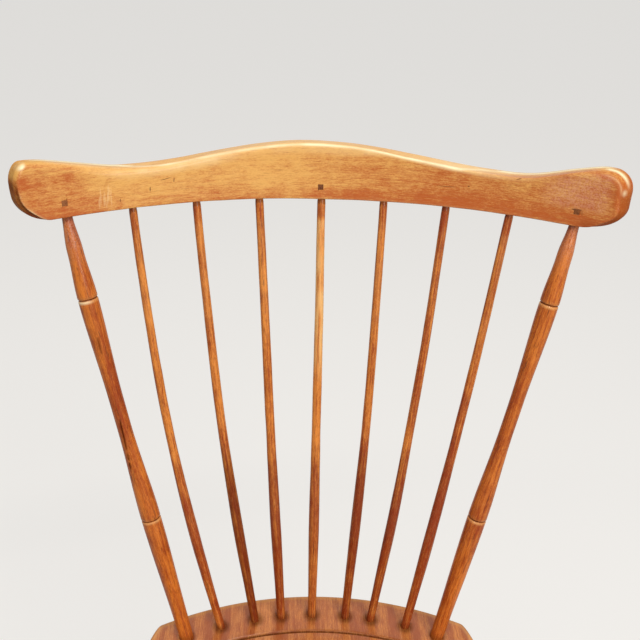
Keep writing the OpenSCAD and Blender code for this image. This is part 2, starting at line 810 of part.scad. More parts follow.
crest_rail();
crest_pin(-stile_k);  // crest_pin_left
crest_pin(0);  // crest_pin_centre
crest_pin(stile_k);  // crest_pin_right
stile(-stile_k);  // stile_left
stile(stile_k);  // stile_right
spindle(-3);  // spindle_1
spindle(-2);  // spindle_2
spindle(-1);  // spindle_3
spindle(0);  // spindle_4
spindle(1);  // spindle_5
spindle(2);  // spindle_6
spindle(3);  // spindle_7
seat();
stile_wedge(-stile_k);  // stile_wedge_left
stile_wedge(stile_k);  // stile_wedge_right
leg(0);  // leg_front_left
leg(1);  // leg_front_right
leg(2);  // leg_rear_left
leg(3);  // leg_rear_right
leg_wedge(0);  // leg_wedge_front_left
leg_wedge(1);  // leg_wedge_front_right
leg_wedge(2);  // leg_wedge_rear_left
leg_wedge(3);  // leg_wedge_rear_right
side_stretcher(-1);  // side_stretcher_left
side_stretcher(1);  // side_stretcher_right
centre_stretcher();
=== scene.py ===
"""Looks of a fan back Windsor chair: finer surfaces, old varnished wood, a pale floor and soft light.

Sizes are in millimetres, in the chair's own frame before it is centred. piece() turns them into metres,
and the grain coordinates into centimetres for the materials. Lamps and camera are in metres. Named
angles are in degrees, but for SEAT_CORNER.
"""
import math
import bmesh
import bpy
import numpy as np
from mathutils import Matrix, Vector


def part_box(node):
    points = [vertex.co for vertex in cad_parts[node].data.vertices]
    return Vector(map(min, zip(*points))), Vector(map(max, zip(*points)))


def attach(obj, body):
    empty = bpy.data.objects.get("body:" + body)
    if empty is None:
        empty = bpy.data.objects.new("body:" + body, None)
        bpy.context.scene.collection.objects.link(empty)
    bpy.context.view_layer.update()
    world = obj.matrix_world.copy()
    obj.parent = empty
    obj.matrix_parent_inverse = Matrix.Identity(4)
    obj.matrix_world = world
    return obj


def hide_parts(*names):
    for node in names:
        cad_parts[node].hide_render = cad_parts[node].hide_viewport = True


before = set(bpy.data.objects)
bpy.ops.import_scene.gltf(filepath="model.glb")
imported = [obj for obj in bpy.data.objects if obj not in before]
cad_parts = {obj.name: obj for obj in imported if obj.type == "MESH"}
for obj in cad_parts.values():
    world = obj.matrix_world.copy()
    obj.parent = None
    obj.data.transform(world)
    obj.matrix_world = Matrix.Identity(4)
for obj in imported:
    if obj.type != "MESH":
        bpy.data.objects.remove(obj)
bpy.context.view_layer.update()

# Seat
SEAT_H = 430
SEAT_W = 424
SEAT_FRONT = 366
SEAT_T = 44
SEAT_LOW = SEAT_H - SEAT_T
DECK_MARGIN = 32
DECK_END = 20
GUTTER_INSET = 24
GUTTER_R = 3
SADDLE_DEPTH = 13
WIDE_BACK = 120
BEVEL_H = 18

# Row of stiles and spindles
BACK_RISE = 484
BACK_RECLINE = 11.4
DECK_R = 334
FOOT_GAP = 37
HEAD_GAP = 63.9
STILE_K = 4
DRIFT = {-3: 4, -2: 7, -1: 1, 1: 2, 2: -5, 3: -1}
# Sideways bow of each stile and spindle at its middle, towards +X
BOW = {-4: -3, -3: -11.5, -2: -6.5, -1: -0.8, 0: 0, 1: 3.5, 2: 5.5, 3: 4, 4: 1.5}

# Crest rail
CREST_T = 19
CREST_R = 492
CREST_LEAN = 6
CREST_HALF = 301
CROWN_H = 56
# Pairs are for left and right, but TIP_H gives the two heights between which each end stands upright
DIP_H = (39.8, 38.4)
EAR_H = (56, 58.4)
CROWN_SHIFT = -17
DIP_AT = 183
EAR_BACK = (11, 17.5)
EAR_SWEEP = (28, 46)
TIP_H = (24.5, 37.5)
# The higher this power, the later the edge rises from a dip to its ear
EAR_LAG = 1.2
PIN_W = 5.4
# Rise of each pin above the rail's lower edge, its offset along the bend, and its tone
PIN_UP = {-4: 14, 0: 11.5, 4: 13.5}
PIN_OFF = {-4: -1.5, 0: -1.6, 4: 0}
PIN_TONE = {-4: 0.1, 0: 0.6, 4: 0.35}

# Scores of all turnings
SCORE_DEPTH = 1
SCORE_W = 3.2

# How far a tenon's end stands out of the seat, and how far one runs on inside the wood
PROUD = 0.3
HIDDEN_TENON = 9

# How far the whole chair is moved so that its box is centred, read off the seat's front edge
SHIFT_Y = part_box("seat")[0].y * 1000 + SEAT_FRONT


# Numbers


def mix(a, b, t):
    return a + (b - a) * t


def ease(t):
    return (1 - np.cos(np.pi * np.clip(t, 0, 1))) / 2


def ramp(x, start, run):
    """0 before start, eased to 1 a run further on. A negative run goes the other way."""
    return ease((x - start) / run)


def fade(x, start, run):
    return 1 - ramp(x, start, run)


def bump(x, middle, half):
    """1 at the middle, eased to 0 at half a width away."""
    return fade(np.abs(x - middle), 0, half)


def bell(x, middle, width):
    return np.exp(-(((x - middle) / width) ** 2))


def most(*values):
    return np.maximum.reduce(np.broadcast_arrays(*values))


def quarter(t):
    return np.sqrt(most(0, 1 - np.square(t)))


def tan(degrees):
    return math.tan(math.radians(degrees))


def at(*parts):
    """Points from their coordinates, each a number or an array."""
    return np.stack(np.broadcast_arrays(*parts), axis=-1)


def span(ends):
    return np.linalg.norm(ends[1] - ends[0])


def unit(v):
    return np.asarray(v, float) / np.linalg.norm(v)


def lattice(cell, seed):
    """Repeatable random value from 0 to 1 for each whole-number cell."""
    n = cell[..., 0] * 374761393 + cell[..., 1] * 668265263 + cell[..., 2] * 1440662683 + seed * 1274126177
    n = n & 0xFFFFFFFF
    n = ((n ^ (n >> 13)) * 1274126177) & 0xFFFFFFFF
    return ((n ^ (n >> 16)) & 0xFFFF) / 0xFFFF


def noise(x, y, z, seed):
    """Smooth noise from -1 to 1."""
    p = at(x, y, z)
    cell = np.floor(p).astype(np.int64)
    u = p - cell
    u = u * u * (3 - 2 * u)
    total = np.zeros(p.shape[:-1])
    for corner in np.ndindex(2, 2, 2):
        weight = np.prod(np.where(corner, u, 1 - u), axis=-1)
        total += weight * lattice(cell + np.array(corner), seed)
    return 2 * total - 1


def noise_1d(x, seed):
    return noise(x, 0, 0, seed)


def noise_around(d, a, long, wide, seed):
    """Noise on a turned piece, at a distance along it and an angle round it."""
    return noise(d / long, np.cos(a) * wide, np.sin(a) * wide, seed)


# Meshes

WOODS = {}


def linked(name, data):
    obj = bpy.data.objects.new(name, data)
    bpy.context.scene.collection.objects.link(obj)
    return obj


def piece(node, slot, points, faces, grain, masks, sharp=38, gap=1e-6, ending="_wood"):
    """Adds the piece for a node, from points in millimetres, their grain coordinates and their masks.

    Points that coincide are joined, what collapsed is dropped, and faces are turned outwards.
    """
    mesh = bpy.data.meshes.new(node + ending)
    mesh.from_pydata(((points + [0, SHIFT_Y, 0]) * 0.001).tolist(), [], faces)
    layer = mesh.attributes.new("grain", "FLOAT_VECTOR", "POINT")
    layer.data.foreach_set("vector", (grain * 0.1).ravel())
    for mask, values in masks.items():
        layer = mesh.attributes.new(mask, "FLOAT", "POINT")
        layer.data.foreach_set("value", np.broadcast_to(values, len(points)).astype(float))
    obj = linked(node + ending, mesh)
    b = bmesh.new()
    b.from_mesh(mesh)
    bmesh.ops.remove_doubles(b, verts=b.verts, dist=gap)
    bmesh.ops.dissolve_degenerate(b, edges=b.edges, dist=gap)
    bmesh.ops.recalc_face_normals(b, faces=b.faces)
    b.to_mesh(mesh)
    b.free()
    mesh.shade_smooth()
    mesh.set_sharp_from_angle(angle=math.radians(sharp))
    mesh.materials.append(WOODS[slot])
    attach(obj, "root")
    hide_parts(node)


def ring_faces(rows, sides):
    """Quads between rings of points, ring after ring."""
    faces = []
    for a in range(0, (rows - 1) * sides, sides):
        for j in range(sides):
            k = (j + 1) % sides
            faces.append((a + j, a + k, a + sides + k, a + sides + j))
    return faces


def capped_faces(rows, sides):
    """Faces of rings with one more point in the middle of each end, after the rings."""
    faces = ring_faces(rows, sides)
    first, last, base = rows * sides, rows * sides + 1, (rows - 1) * sides
    for j in range(sides):
        k = (j + 1) % sides
        faces += [(first, k, j), (last, base + j, base + k)]
    return faces


def inward(outline, by):
    """The outline moved inwards, square to itself."""
    tangent = np.roll(outline, -1, axis=0) - np.roll(outline, 1, axis=0)
    tangent /= np.linalg.norm(tangent, axis=1)[:, None]
    return outline + by * at(tangent[:, 1], -tangent[:, 0])


def clipped(**masks):
    return {name: np.clip(mask, 0, 1) for name, mask in masks.items()}


# Turnings


def scored(d, r):
    """Outline of a score: a V with a soft bottom and crisp shoulders."""
    half = SCORE_W / 2
    offsets = np.arange(-half, half, 0.22)
    return at(d + offsets, r - SCORE_DEPTH * (1 - np.abs(offsets) / half) ** 0.9).tolist()


def swelled(stations, step, scores=()):
    """Outline through stations, each a distance and a diameter, eased between them, with scores at some."""
    out = []
    for (d0, w0), (d1, w1) in zip(stations, stations[1:]):
        if d0 in scores:
            out += scored(d0, w0 / 2)
            d0 += SCORE_W / 2
        if d1 in scores:
            d1 -= SCORE_W / 2
        n = max(2, int(abs(d1 - d0) / step))
        t = np.arange(n) / n
        out += at(mix(d0, d1, t), mix(w0 / 2, w1 / 2, ease(t))).tolist()
    return out


def axis_frame(direction):
    """Two directions square to an axis: the first is level, the second points up the axis's side."""
    w = unit(direction)
    u = unit(np.cross(w, [0, 0, 1]))
    return u, np.cross(u, w)


def turning(node, ends, outline, seed, masks, slot="turned_wood", sides=64, oval=0.008, tool=0.06,
            bow=None, cut=None):
    """Turned piece between two ends, from an outline of distances from the first and radii.

    bow gives the axis's sideways offset at each distance, and cut moves each ring's points along the
    axis so that an end lies flat on a plane.
    """
    d, r = np.transpose(outline)
    axis = unit(ends[1] - ends[0])
    u, v = axis_frame(axis)
    dd, aa = np.meshgrid(d, np.arange(sides) * 2 * np.pi / sides, indexing="ij")
    rough = tool * noise_around(dd, aa, 26, 1.4, seed) * np.minimum(1, r[:, None] / 4)
    radius = r[:, None] * (1 + oval * np.cos(2 * aa + seed)) + rough
    x, y = radius * np.cos(aa), radius * np.sin(aa)
    side = x[..., None] * u + y[..., None] * v
    along = cut(dd, side, axis) if cut else dd
    rings = ends[0] + along[..., None] * axis + side + (bow(dd) if bow else 0)
    tips = rings[[0, -1]].mean(1)
    grain = np.vstack([at(along, x, y).reshape(-1, 3), at(along[[0, -1]].mean(1), 0, 0)])
    grain += seed * np.array([613, 171, 97])
    values = {name: rule(dd, aa).ravel() for name, rule in masks.items()}
    values = {name: np.append(value, value[[0, -1]]) for name, value in values.items()}
    piece(node, slot, np.vstack([rings.reshape(-1, 3), tips]), capped_faces(*dd.shape), grain, values)


# Crest rail

LEAN_COS = math.cos(math.radians(CREST_LEAN))
LEAN_SIN = math.sin(math.radians(CREST_LEAN))
# How far back the middle of the rail is
HEAD_BACK = BACK_RISE * tan(BACK_RECLINE)
# How far the worn underside hangs lower on the right
SAG = 0.9
# Where the outline is fuller than its plain curves: distance, height, half lengths along both, and amount
FULLER = [
    (-302, 34, 13, 24, 1.2), (-276, 4, 75, 22, -0.4), (-252, 56, 42, 14, -0.9), (290, 4, 32, 22, 1.7),
    (301, 28, 16, 20, -0.3), (290, 59, 18, 14, -0.6), (252, 58, 26, 12, -0.8),
]


def crest_point(s, d, z):
    """Point at distance s along the bend, d behind the middle surface and z up the slope."""
    r = CREST_R + d * LEAN_COS + z * LEAN_SIN
    x, y = r * np.sin(s / CREST_R), r * np.cos(s / CREST_R) - CREST_R + HEAD_BACK
    return at(x, y, SEAT_H + BACK_RISE + z * LEAN_COS - d * LEAN_SIN)


def crest_top(s):
    """Height of the upper edge: crown, dip, ear and round end on each side."""
    a = np.abs(s)
    ear_back, ear, dip = (np.where(s < 0, *pair) for pair in (EAR_BACK, EAR_H, DIP_H))
    ear_at = CREST_HALF - ear_back
    from_crown = np.abs(s - CROWN_SHIFT) / (DIP_AT + np.where(s < CROWN_SHIFT, CROWN_SHIFT, -CROWN_SHIFT))
    crown = mix(CROWN_H, np.where(s < CROWN_SHIFT, *DIP_H), ease(from_crown))
    rise = mix(dip, ear, ramp(a, DIP_AT, ear_at - DIP_AT) ** EAR_LAG)
    tip = mix(TIP_H[1], ear, quarter((a - ear_at) / ear_back))
    return np.where(a <= DIP_AT, crown, np.where(a <= ear_at, rise, tip))


def crest_bottom(s):
    """Height of the lower edge, level but for the sweep up to each end."""
    sweep = np.where(s < 0, *EAR_SWEEP)
    rise = TIP_H[0] * (1 - quarter(most(0, (np.abs(s) - CREST_HALF + sweep) / sweep)))
    return rise - SAG * ramp(s, -90, 120) * fade(s, 250, 45)


def row_head(k):
    return crest_point(k * HEAD_GAP, 0, 0)


def row_foot(k):
    a = (k * FOOT_GAP + DRIFT.get(k, 0)) / DECK_R
    return np.array([DECK_R * math.sin(a), DECK_R * (math.cos(a) - 1), SEAT_H])


ROW = {k: (row_head(k), row_foot(k)) for k in range(-STILE_K, STILE_K + 1)}


def pin_place(k):
    """Distance along the bend and height at which a pin crosses the middle of the rail."""
    head, foot = ROW[k]
    axis = unit(foot - head)
    x, y, z = head + axis * (PIN_UP[k] / axis[2]) - [0, HEAD_BACK - CREST_R, SEAT_H + BACK_RISE]
    return CREST_R * math.atan2(x, y) + PIN_OFF[k], z * LEAN_COS + (math.hypot(x, y) - CREST_R) * LEAN_SIN


PINS = {k: pin_place(k) for k in PIN_UP}
# Half width of a pin's hole, the width of the band in which its walls stand, its depth, and stations on it
HOLE = PIN_W / 2 + 0.07
WALL = 0.05
POCKET = 1.6
PIN_LINES = np.array([HOLE, HOLE - WALL, 1.2, -1.2, WALL - HOLE, -HOLE])
# How far in from each end the middle line of the faces stops, and its share of the rail's height
FAN = (22, 27)
MIDDLE_LINE = 0.55
# Distance between plain stations along the rail
COLUMN = 2.4
# Row of the section in the middle of the front's rounded edge, and how far past it the back face counts
ARRIS = 3
BEHIND = 30


def crest_columns():
    """Distances of the rail's stations: fine at the round ends, and on the walls of the pins' holes."""
    turn = np.radians(np.arange(0, 90.1, 3))
    left, right = (CREST_HALF - sweep * (1 - np.sin(turn)) for sweep in EAR_SWEEP)
    base = np.concatenate([-left[::-1], np.arange(COLUMN - left[0], right[0] - 1, COLUMN), right])
    for s, _ in PINS.values():
        base = np.concatenate([base[np.abs(base - s) > HOLE + 0.7], s + PIN_LINES])
    return np.sort(base)


def crest_loop():
    """Closed outline, clockwise from the sitter's side, the middle line's point next to each of its points,
    and which of them are on the lower edge.
    """
    columns = crest_columns()
    tip = at(CREST_HALF, mix(*TIP_H, np.linspace(1, 0, 8)[1:-1]))
    top, low = at(columns, crest_top(columns)), at(columns, crest_bottom(columns))
    loop = np.vstack([top, tip, low[::-1], tip[::-1] * [-1, 1]])
    s = np.clip(loop[:, 0], FAN[0] - CREST_HALF, CREST_HALF - FAN[1])
    under = np.zeros(len(loop), bool)
    under[len(top) + len(tip):-len(tip)] = True
    return loop, at(s, mix(crest_bottom(s), crest_top(s), MIDDLE_LINE)), under


def look_up(stations, x):
    return np.interp(x, *zip(*stations))


# Radius of the front's upper edge at stations along the bend
FRONT_ROUND = [(-215, 7), (-180, 5.5), (-60, 5.5), (30, 3.8), (60, 2), (240, 2), (290, 11)]


def crest_edges(loop):
    """Widths along the outline: how far the front's edge is set in and its bevel reaches back, and the
    radii of the bevel's two edges and of the back one.
    """
    s, z = loop.T
    up, left, right = ramp(z, 6, 30), ramp(s, -270, -24), ramp(s, 258, 34)
    low_left = left * bump(z, 10, 24)
    run = np.cumsum(np.hypot(*(loop - np.roll(loop, 1, axis=0)).T))
    inset = 0.1 + up * (1.6 * ramp(s, 30, 60) + 2.2 * bump(s, -172, 70))
    inset = mix(mix(inset, 4 - 1.8 * up, left), 4.5 + 1.5 * ramp(z, 10, 20), right)
    inset = inset * np.where(z < 20, ramp(np.abs(s), 258, 28), 1)
    reach = mix(5, 14, up * (1 - most(left, right))) + 3 * left * (1 - up) + 3 * right
    worn = most(0, noise_1d(run / 7, 15) - 0.2) * (0.4 + 1.4 * low_left) * (1 - right)
    front = mix(1, look_up(FRONT_ROUND, s), up) * (1 - 0.8 * low_left) + worn
    back = mix(1.5, 1.2, up) + 1.3 * bump(s, CROWN_SHIFT, 120) * up
    return inset, reach, front, 3 + 9 * right, back


def rounded(corner, inwards, outwards, radius, limit, steps):
    """Curve that rounds the corner between two directions, as points of (in from the outline, back)."""
    cos = np.clip((inwards * outwards).sum(-1), -1, 1)
    run = np.minimum(radius * np.sqrt((1 - cos) / (1 + cos)), limit)[:, None]
    t = np.linspace(0, 1, steps)[:, None, None]
    a, b = corner - inwards * run, corner + outwards * run
    return a * (1 - t) ** 2 + 2 * corner * t * (1 - t) + b * t**2


def crest_section(loop):
    """Section round the outline, front face to back face, as rows of (in from the outline, back)."""
    inset, reach, front, outer, back = crest_edges(loop)
    half = CREST_T / 2
    first, second = at(inset, -half), at(0, reach - half)
    length = np.hypot(*(second - first).T)
    bevel = (second - first) / length[:, None]
    out, rear, home = np.array([[-1.0, 0], [0, 1], [1, 0]])
    rows = [
        rounded(first, out, bevel, front, 0.5 * length, 7),
        rounded(second, bevel, rear, outer, 0.45 * length, 4),
        rounded(np.array([0, half]), rear, home, back, 9, 6),
    ]
    slope = mix(rows[0][-1], rows[1][0], np.array([0.08, 0.18, 0.35, 0.6])[:, None, None])
    gap = mix(rows[1][-1], rows[2][0], np.array([0.33, 0.67])[:, None, None])
    return np.concatenate([rows[0], slope, rows[1], gap, rows[2]])


def crest_rings(start, middle, under):
    """Places of a face's rings, from the middle line out to where the section starts."""
    level = under & (np.abs(start[:, 0]) < CREST_HALF - max(FAN) - 4)
    low = np.where(level, start[:, 1], 1.6)
    holes = middle[:, 1] - look_up(PINS.values(), middle[:, 0]) - PIN_LINES[:, None]
    holes = holes / (middle[:, 1] - low)
    before = holes[0] * np.array([0, 0.4, 0.8])[:, None]
    after = mix(holes[-1], 1, np.array([0.3, 0.55, 0.75, 0.88, 0.96])[:, None])
    return mix(middle, start, np.concatenate([before, holes, after])[..., None])


def crest_face(places, start, side):
    """Depths of a face's points: a little hollow and wavy, with pockets for the pins."""
    s, z = np.moveaxis(places, -1, 0)
    inner = ease(np.linalg.norm(places - start, axis=-1) / 12)
    wave, scrape = noise(s / 46, z / 24, 0, 4 + side), noise(s / 9, z / 30, 0, 6 + side)
    depth = CREST_T / 2 - inner * (0.22 + 0.22 * wave + 0.04 * scrape)
    for pin_s, pin_z in PINS.values():
        depth -= POCKET * (most(np.abs(s - pin_s), np.abs(z - pin_z)) < HOLE - WALL / 2)
    return side * depth


def crest_rail():
    """The rail as one skin of rings: front face, edge, then back face."""
    loop, middle, under = crest_loop()
    wobble = 0.14 * noise_1d(loop[:, 0] / 17 + loop[:, 1] / 40, 12)
    for s, z, wide, tall, out in FULLER:
        wobble -= out * bump(loop[:, 0], s, wide) * bump(loop[:, 1], z, tall)
    loop = inward(loop, wobble[:, None])
    section = crest_section(loop)
    edge = np.stack([inward(loop, row[:, :1]) for row in section])
    front = crest_rings(edge[0], middle, under)
    back = crest_rings(edge[-1], middle, under)[::-1]
    depth = np.concatenate([crest_face(front, edge[0], -1), section[..., 1], crest_face(back, edge[-1], 1)])
    s, z = np.moveaxis(np.concatenate([front, edge, back]), -1, 0)
    grain = at(s, z, depth).reshape(-1, 3)
    side = np.where(np.arange(len(section)) < ARRIS, -1, 1)[:, None]
    beyond = side * np.linalg.norm(section - section[ARRIS], axis=-1)
    ahead = -np.linalg.norm(front - edge[ARRIS], axis=-1)
    beyond = np.concatenate([ahead, beyond, np.full(back.shape[:2], BEHIND)])
    piece("crest_rail", "crest_wood", crest_point(s, depth, z).reshape(-1, 3), ring_faces(*s.shape), grain,
          crest_masks(grain, beyond.ravel()), 42)


# Painted highlight spots on the ears: distance along the bend, height, half length, half width, tilt and
# amount
GLINTS = [(-293.2, 53, 6.5, 2.6, 32, 1), (297, 39, 5, 2.5, 90, 0.55)]
# How far past the front's edge the painted highlight line runs along the top
SHINE_AT = [(-285, 12.2), (-202, 12.6), (-184, 6), (-162, 2.6), (-110, 0.6), (-60, 0), (-30, -0.4),
            (40, -0.3), (80, 0), (139, 1), (160, 9), (182, 13.5), (262, 12.5), (285, 14)]
# How strongly a broad painted highlight lightens the front just below its upper edge
PALE_TOP = [(-235, 0), (-190, 0.5), (-110, 0.6), (-75, 0.12), (-30, 0.25), (10, 0.35), (50, 0.6), (90, 0.3),
            (130, 0.65), (175, 0.5), (215, 0.15), (250, 0)]
# Tone of the rail's front at stations along the bend
RAIL_TONE = [(-300, 0.62), (-255, 0.5), (-225, 0.28), (-185, 0.08), (-110, 0.26), (-70, 0.2), (-30, 0.16),
             (10, 0.36), (40, 0.52), (90, 0.46), (130, 0.74), (170, 0.64), (210, 0.62), (300, 0.76)]


def crest_masks(grain, beyond):
    """Masks of the rail's wood, given each point's distance past the front's edge.

    Tone runs from 0, golden, to 1, red-brown. Wear is pale and rubbed, and on the top and upper edge partly
    painted light. The painted highlight is nearly white. Grime is dark, and on the down-turned edges painted
    shade as well.
    Haze is a milky painted reflection, and dull takes the varnish's gloss away.
    """
    s, z, d = grain.T
    a = np.abs(s)
    low, high = crest_bottom(s), crest_top(s)
    up = (z - low) / most(1, high - low)
    patch, fine = noise(s / 30, z / 15, d / 20, 21), noise(s / 9, z / 7, d / 9, 22)
    # How strongly rubbed wear and painted highlights show, varying along the bend
    rubbed = 0.8 + 0.3 * noise_1d(s / 13, 23)
    arris = np.exp(-np.abs(beyond) / 0.8)

    tone = look_up(RAIL_TONE, s) + 0.38 * fade(z, 0, 24) - 0.14 * ramp(up, 0.55, 0.35)
    tone += 0.12 * patch + 0.07 * fine
    tone += 0.3 * bump(s, -295, 10) * bump(z, 38, 9) + 0.25 * bump(s, -253, 10) * bump(z, 38, 7)
    tone += 0.45 * ramp(s, 262, 14) * bump(beyond, -2, 4) * ramp(z, 20, 12)
    # The top takes a lighter gold tone, redder towards the right: partly the wood, partly painted light from
    # above
    top = ramp(z - high, -3.5, 3) * fade(a, 270, 20)
    tone = mix(tone, 0.1 + 0.14 * patch + ramp(s, 142, 30) * (0.22 + 0.6 * fade(d, -6, 4)), top)
    tone = mix(tone, 0.62 + 0.2 * patch, ramp(d, -2, 8) * (1 - top))
    dull = ramp(a, 264, 12) * ramp(beyond, 0, 2) * fade(beyond, 18, 8)
    tone += dull * np.where(s > 0, 0.42 * fade(z, 44, 12), -0.6 * ramp(z, 38, 8))
    # A broad painted highlight on the front just below its upper edge, in a lighter tone and paler
    band = 14 - 7 * ramp(s, 10, 60)
    pale_top = look_up(PALE_TOP, s) * ramp(z - high, -band, 0.65 * band) * (d < 2) * (1 - top)
    tone *= 1 - 0.8 * pale_top

    rim = ramp(a, 276, 16)
    # Pale on the top: some wear, and painted light that lightens the upward face, most at the crown and
    # towards the right
    wear = top * (0.2 + 0.16 * patch + 0.12 * bump(s, -30, 130) + 0.45 * bump(s, 140, 85)) * (1 - 0.5 * rim)
    wear = most(wear, pale_top * (0.75 + 0.25 * fine))
    # Pale along the front's edges: rubbed wood, and on the upper edge and the right end's edge also a
    # painted highlight
    front_top = ramp(up, 0.4, 0.2) * ramp(s, -78, 40) * fade(s, 145, 60)
    front_low = ramp(up, 0.3, -0.2) * ramp(s, -60, 80) * fade(s, 236, 30) * 0.4
    end_arris = ramp(s, 268, 14) * ramp(z, 34, 10) * 0.36
    wear = most(wear, arris * rubbed * most(front_top, front_low, end_arris))
    nicked = np.clip(0.62 + 0.7 * noise_1d(z / 3.4, 24) + 0.3 * fine, 0, 1)
    wear = most(wear, arris * nicked * ramp(s, -272, -10) * bump(z, 14, 22))

    # Painted highlights: a near-white line along the top edge, a spot on the right end's shoulder, glints on
    # the ears
    on_ear = ramp(np.abs(s + 5), 165, 25)
    line = bump(beyond, look_up(SHINE_AT, s), 2.6 + 1.7 * on_ear + 1.8 * bump(s, 130, 60))
    line *= ramp(up, 0.5, 0.2) * fade(a, 270, 20)
    shine = line * rubbed * (0.85 + 0.55 * on_ear) * (1 - 0.6 * bump(s, -186, 16))
    shine = most(shine, ramp(s, 270, 10) * bump(z, 55, 15) * bump(beyond, 8.4, 3.3))
    for glint_s, glint_z, long, wide, tilt, amount in GLINTS:
        away = (s - glint_s + 1j * (z - glint_z)) * np.exp(-1j * math.radians(tilt))
        shine = most(shine, amount * bump(np.hypot(away.real / long, away.imag / wide), 0, 1) * (d < 1))

    # Darker on the down-turned bevels, the lower edge and the ends' outer rims: painted shade, with some
    # grime
    bevel = ramp(beyond, 0, 1.2) * ramp(z, 44, -14)
    grime = bevel * (ramp(s, -262, -12) * (0.9 - 0.5 * ramp(beyond, 1.5, 4)) + 0.25 * rim * (s > 0))
    grime += 0.3 * ramp(s, 250, 22) * fade(z, 3, 9) * (d < 0)
    grime += 0.35 * ramp(z - low, 1.8, -2.2) * (a < 262)
    grime += ramp(a, 286, 9) * ramp(beyond, 4, 4) * (0.03 + 0.42 * bump(z, 36, 8) * (s < 0))
    # A milky painted reflection on the front of the right end
    haze = ramp(s, 212, 30) * fade(s, 278, 12) * ramp(z, 12, 10) * fade(up, 0.8, 0.2) * (d < 0)
    return clipped(tone=tone, wear=wear, shine=shine, grime=grime, haze=haze, dull=dull)


def crest_pin(k, node):
    """Square pin with crushed corners and faintly domed ends, from face to face of the rail."""
    s, z = PINS[k]
    c = np.linspace(-1, 1, 7)[:-1]
    side = (1 - 0.03 * np.abs(c) ** 4 + 1j * c) * PIN_W / 2
    outline = np.concatenate([side, side * 1j, -side, side * -1j])
    half = CREST_T / 2 - 0.32
    dome = [(0.12, 0.5), (0.06, 0.82), (0, 0.95), (-0.3, 1)]
    ends = [(-half - out, share) for out, share in dome] + [(half + out, share) for out, share in dome[::-1]]
    depth, share = np.transpose(ends)[..., None]
    x, y = outline.real * share, outline.imag * share
    rough = 0.05 * noise(x * 0.9, y * 0.9, depth, 30 + k)
    tips = depth[[0, -1], 0]
    points = np.vstack([*crest_point(s + x, depth + rough, z + y), crest_point(s, tips, z)])
    grain = np.vstack([*at(depth + k * 31.0, x, y), at(tips, 0, 0)])
    masks = {"tone": PIN_TONE[k], "wear": 0.0, "grime": 0.15}
    piece(node, "pin_wood", points, capped_faces(len(ends), len(outline)), grain, masks, 50)


# Stiles

STILE_HEAD_D = 10
STILE_UPPER_D = 19.7
STILE_WAIST_D = 14.7
STILE_LOWER_D = 20.8
STILE_FOOT_D = 15.5
STILE_SCORES = (84.5, 338)
# Where the waist starts and ends, and how full the shoulder above the upper score is how far down
STILE_WAIST = (196, 226)
SHOULDER_GROWN = 0.55
SHOULDER_AT = 0.42


def sprung(k, wander, seed):
    """Sideways offset of a stile or spindle at each distance from its head."""
    length, lag = span(ROW[k]), 0.6 if abs(k) == STILE_K else 1

    def bow(d):
        swing = np.sin(np.pi * np.clip(d / length, 0, 1) ** lag)
        stray = wander * noise_1d(d / 120, seed) * swing
        return at(BOW[k] * swing + stray, 0.4 * stray, 0)

    return bow


def stile_foot_cut(head):
    """Cuts the foot level with the underside of the seat, a little proud."""

    def cut(along, side, axis):
        z = (head + along[..., None] * axis + side)[..., 2]
        level = along + (SEAT_LOW - PROUD - z) / axis[2]
        return np.where(along > along.max() - SEAT_T / 2, np.minimum(along, level), along)

    return cut


def stile(k, node, seed):
    head, foot = ROW[k]
    length = span(ROW[k])
    upper, lower = STILE_SCORES
    shoulder = mix(STILE_HEAD_D, STILE_UPPER_D, SHOULDER_GROWN)
    outline = [(-HIDDEN_TENON, STILE_HEAD_D / 2)]
    neck, swell = (upper * SHOULDER_AT, shoulder), (upper, STILE_UPPER_D)
    waist = [(d, STILE_WAIST_D) for d in STILE_WAIST]
    outline += swelled([(0, STILE_HEAD_D), neck, swell], 2, STILE_SCORES)
    outline += swelled([swell, *waist, (lower, STILE_LOWER_D), (length, STILE_FOOT_D)], 2.5, STILE_SCORES)
    outline += [(length, STILE_FOOT_D / 2), (length + SEAT_T + 12, STILE_FOOT_D / 2)]

    def tone(d):
        return 0.4 + 0.3 * fade(d, 0, 40) + (0.3 if k < 0 else 0.1) * bump(d, 195, 110)

    masks = turned_masks(seed, length, STILE_SCORES, tone)
    masks["haze"] = lambda d, a: 0.8 * fade(d, 16, 44)
    # A painted highlight along the lip just below the upper score, on the side towards the light
    masks["shine"] = lambda d, a: 0.7 * bell(d, upper + 1.9, 1.1) * ease(0.5 + np.cos(a + 0.6))
    if k < 0:
        masks["grime"] = flecked(masks["grime"], foot - head, seed)
    turning(node, ROW[k], outline, seed, masks, oval=0.006, bow=sprung(k, 0.2, seed),
            cut=stile_foot_cut(head))


def flecked(grime, axis, seed):
    """Grime and painted shade of the left stile, with the dark flecks that wander down its front."""
    u, v = axis_frame(axis)

    def rule(d, a):
        turn = np.radians(np.interp(d, (120, 217, 273), (-10, 2, 26)))
        toward = at(-np.sin(turn), -np.cos(turn), 0)
        aside = np.angle(np.exp(1j * (a - np.arctan2(toward @ v, toward @ u))))
        chain = ramp(d, 212, 8) * fade(d, 268, 10) + 0.7 * bump(d, 131, 20)
        dashes = ramp(noise_1d(d / 5.5, seed + 61), -0.5, 0.4)
        return most(grime(d, a), chain * dashes * bell(aside, 0, 0.15))

    return rule


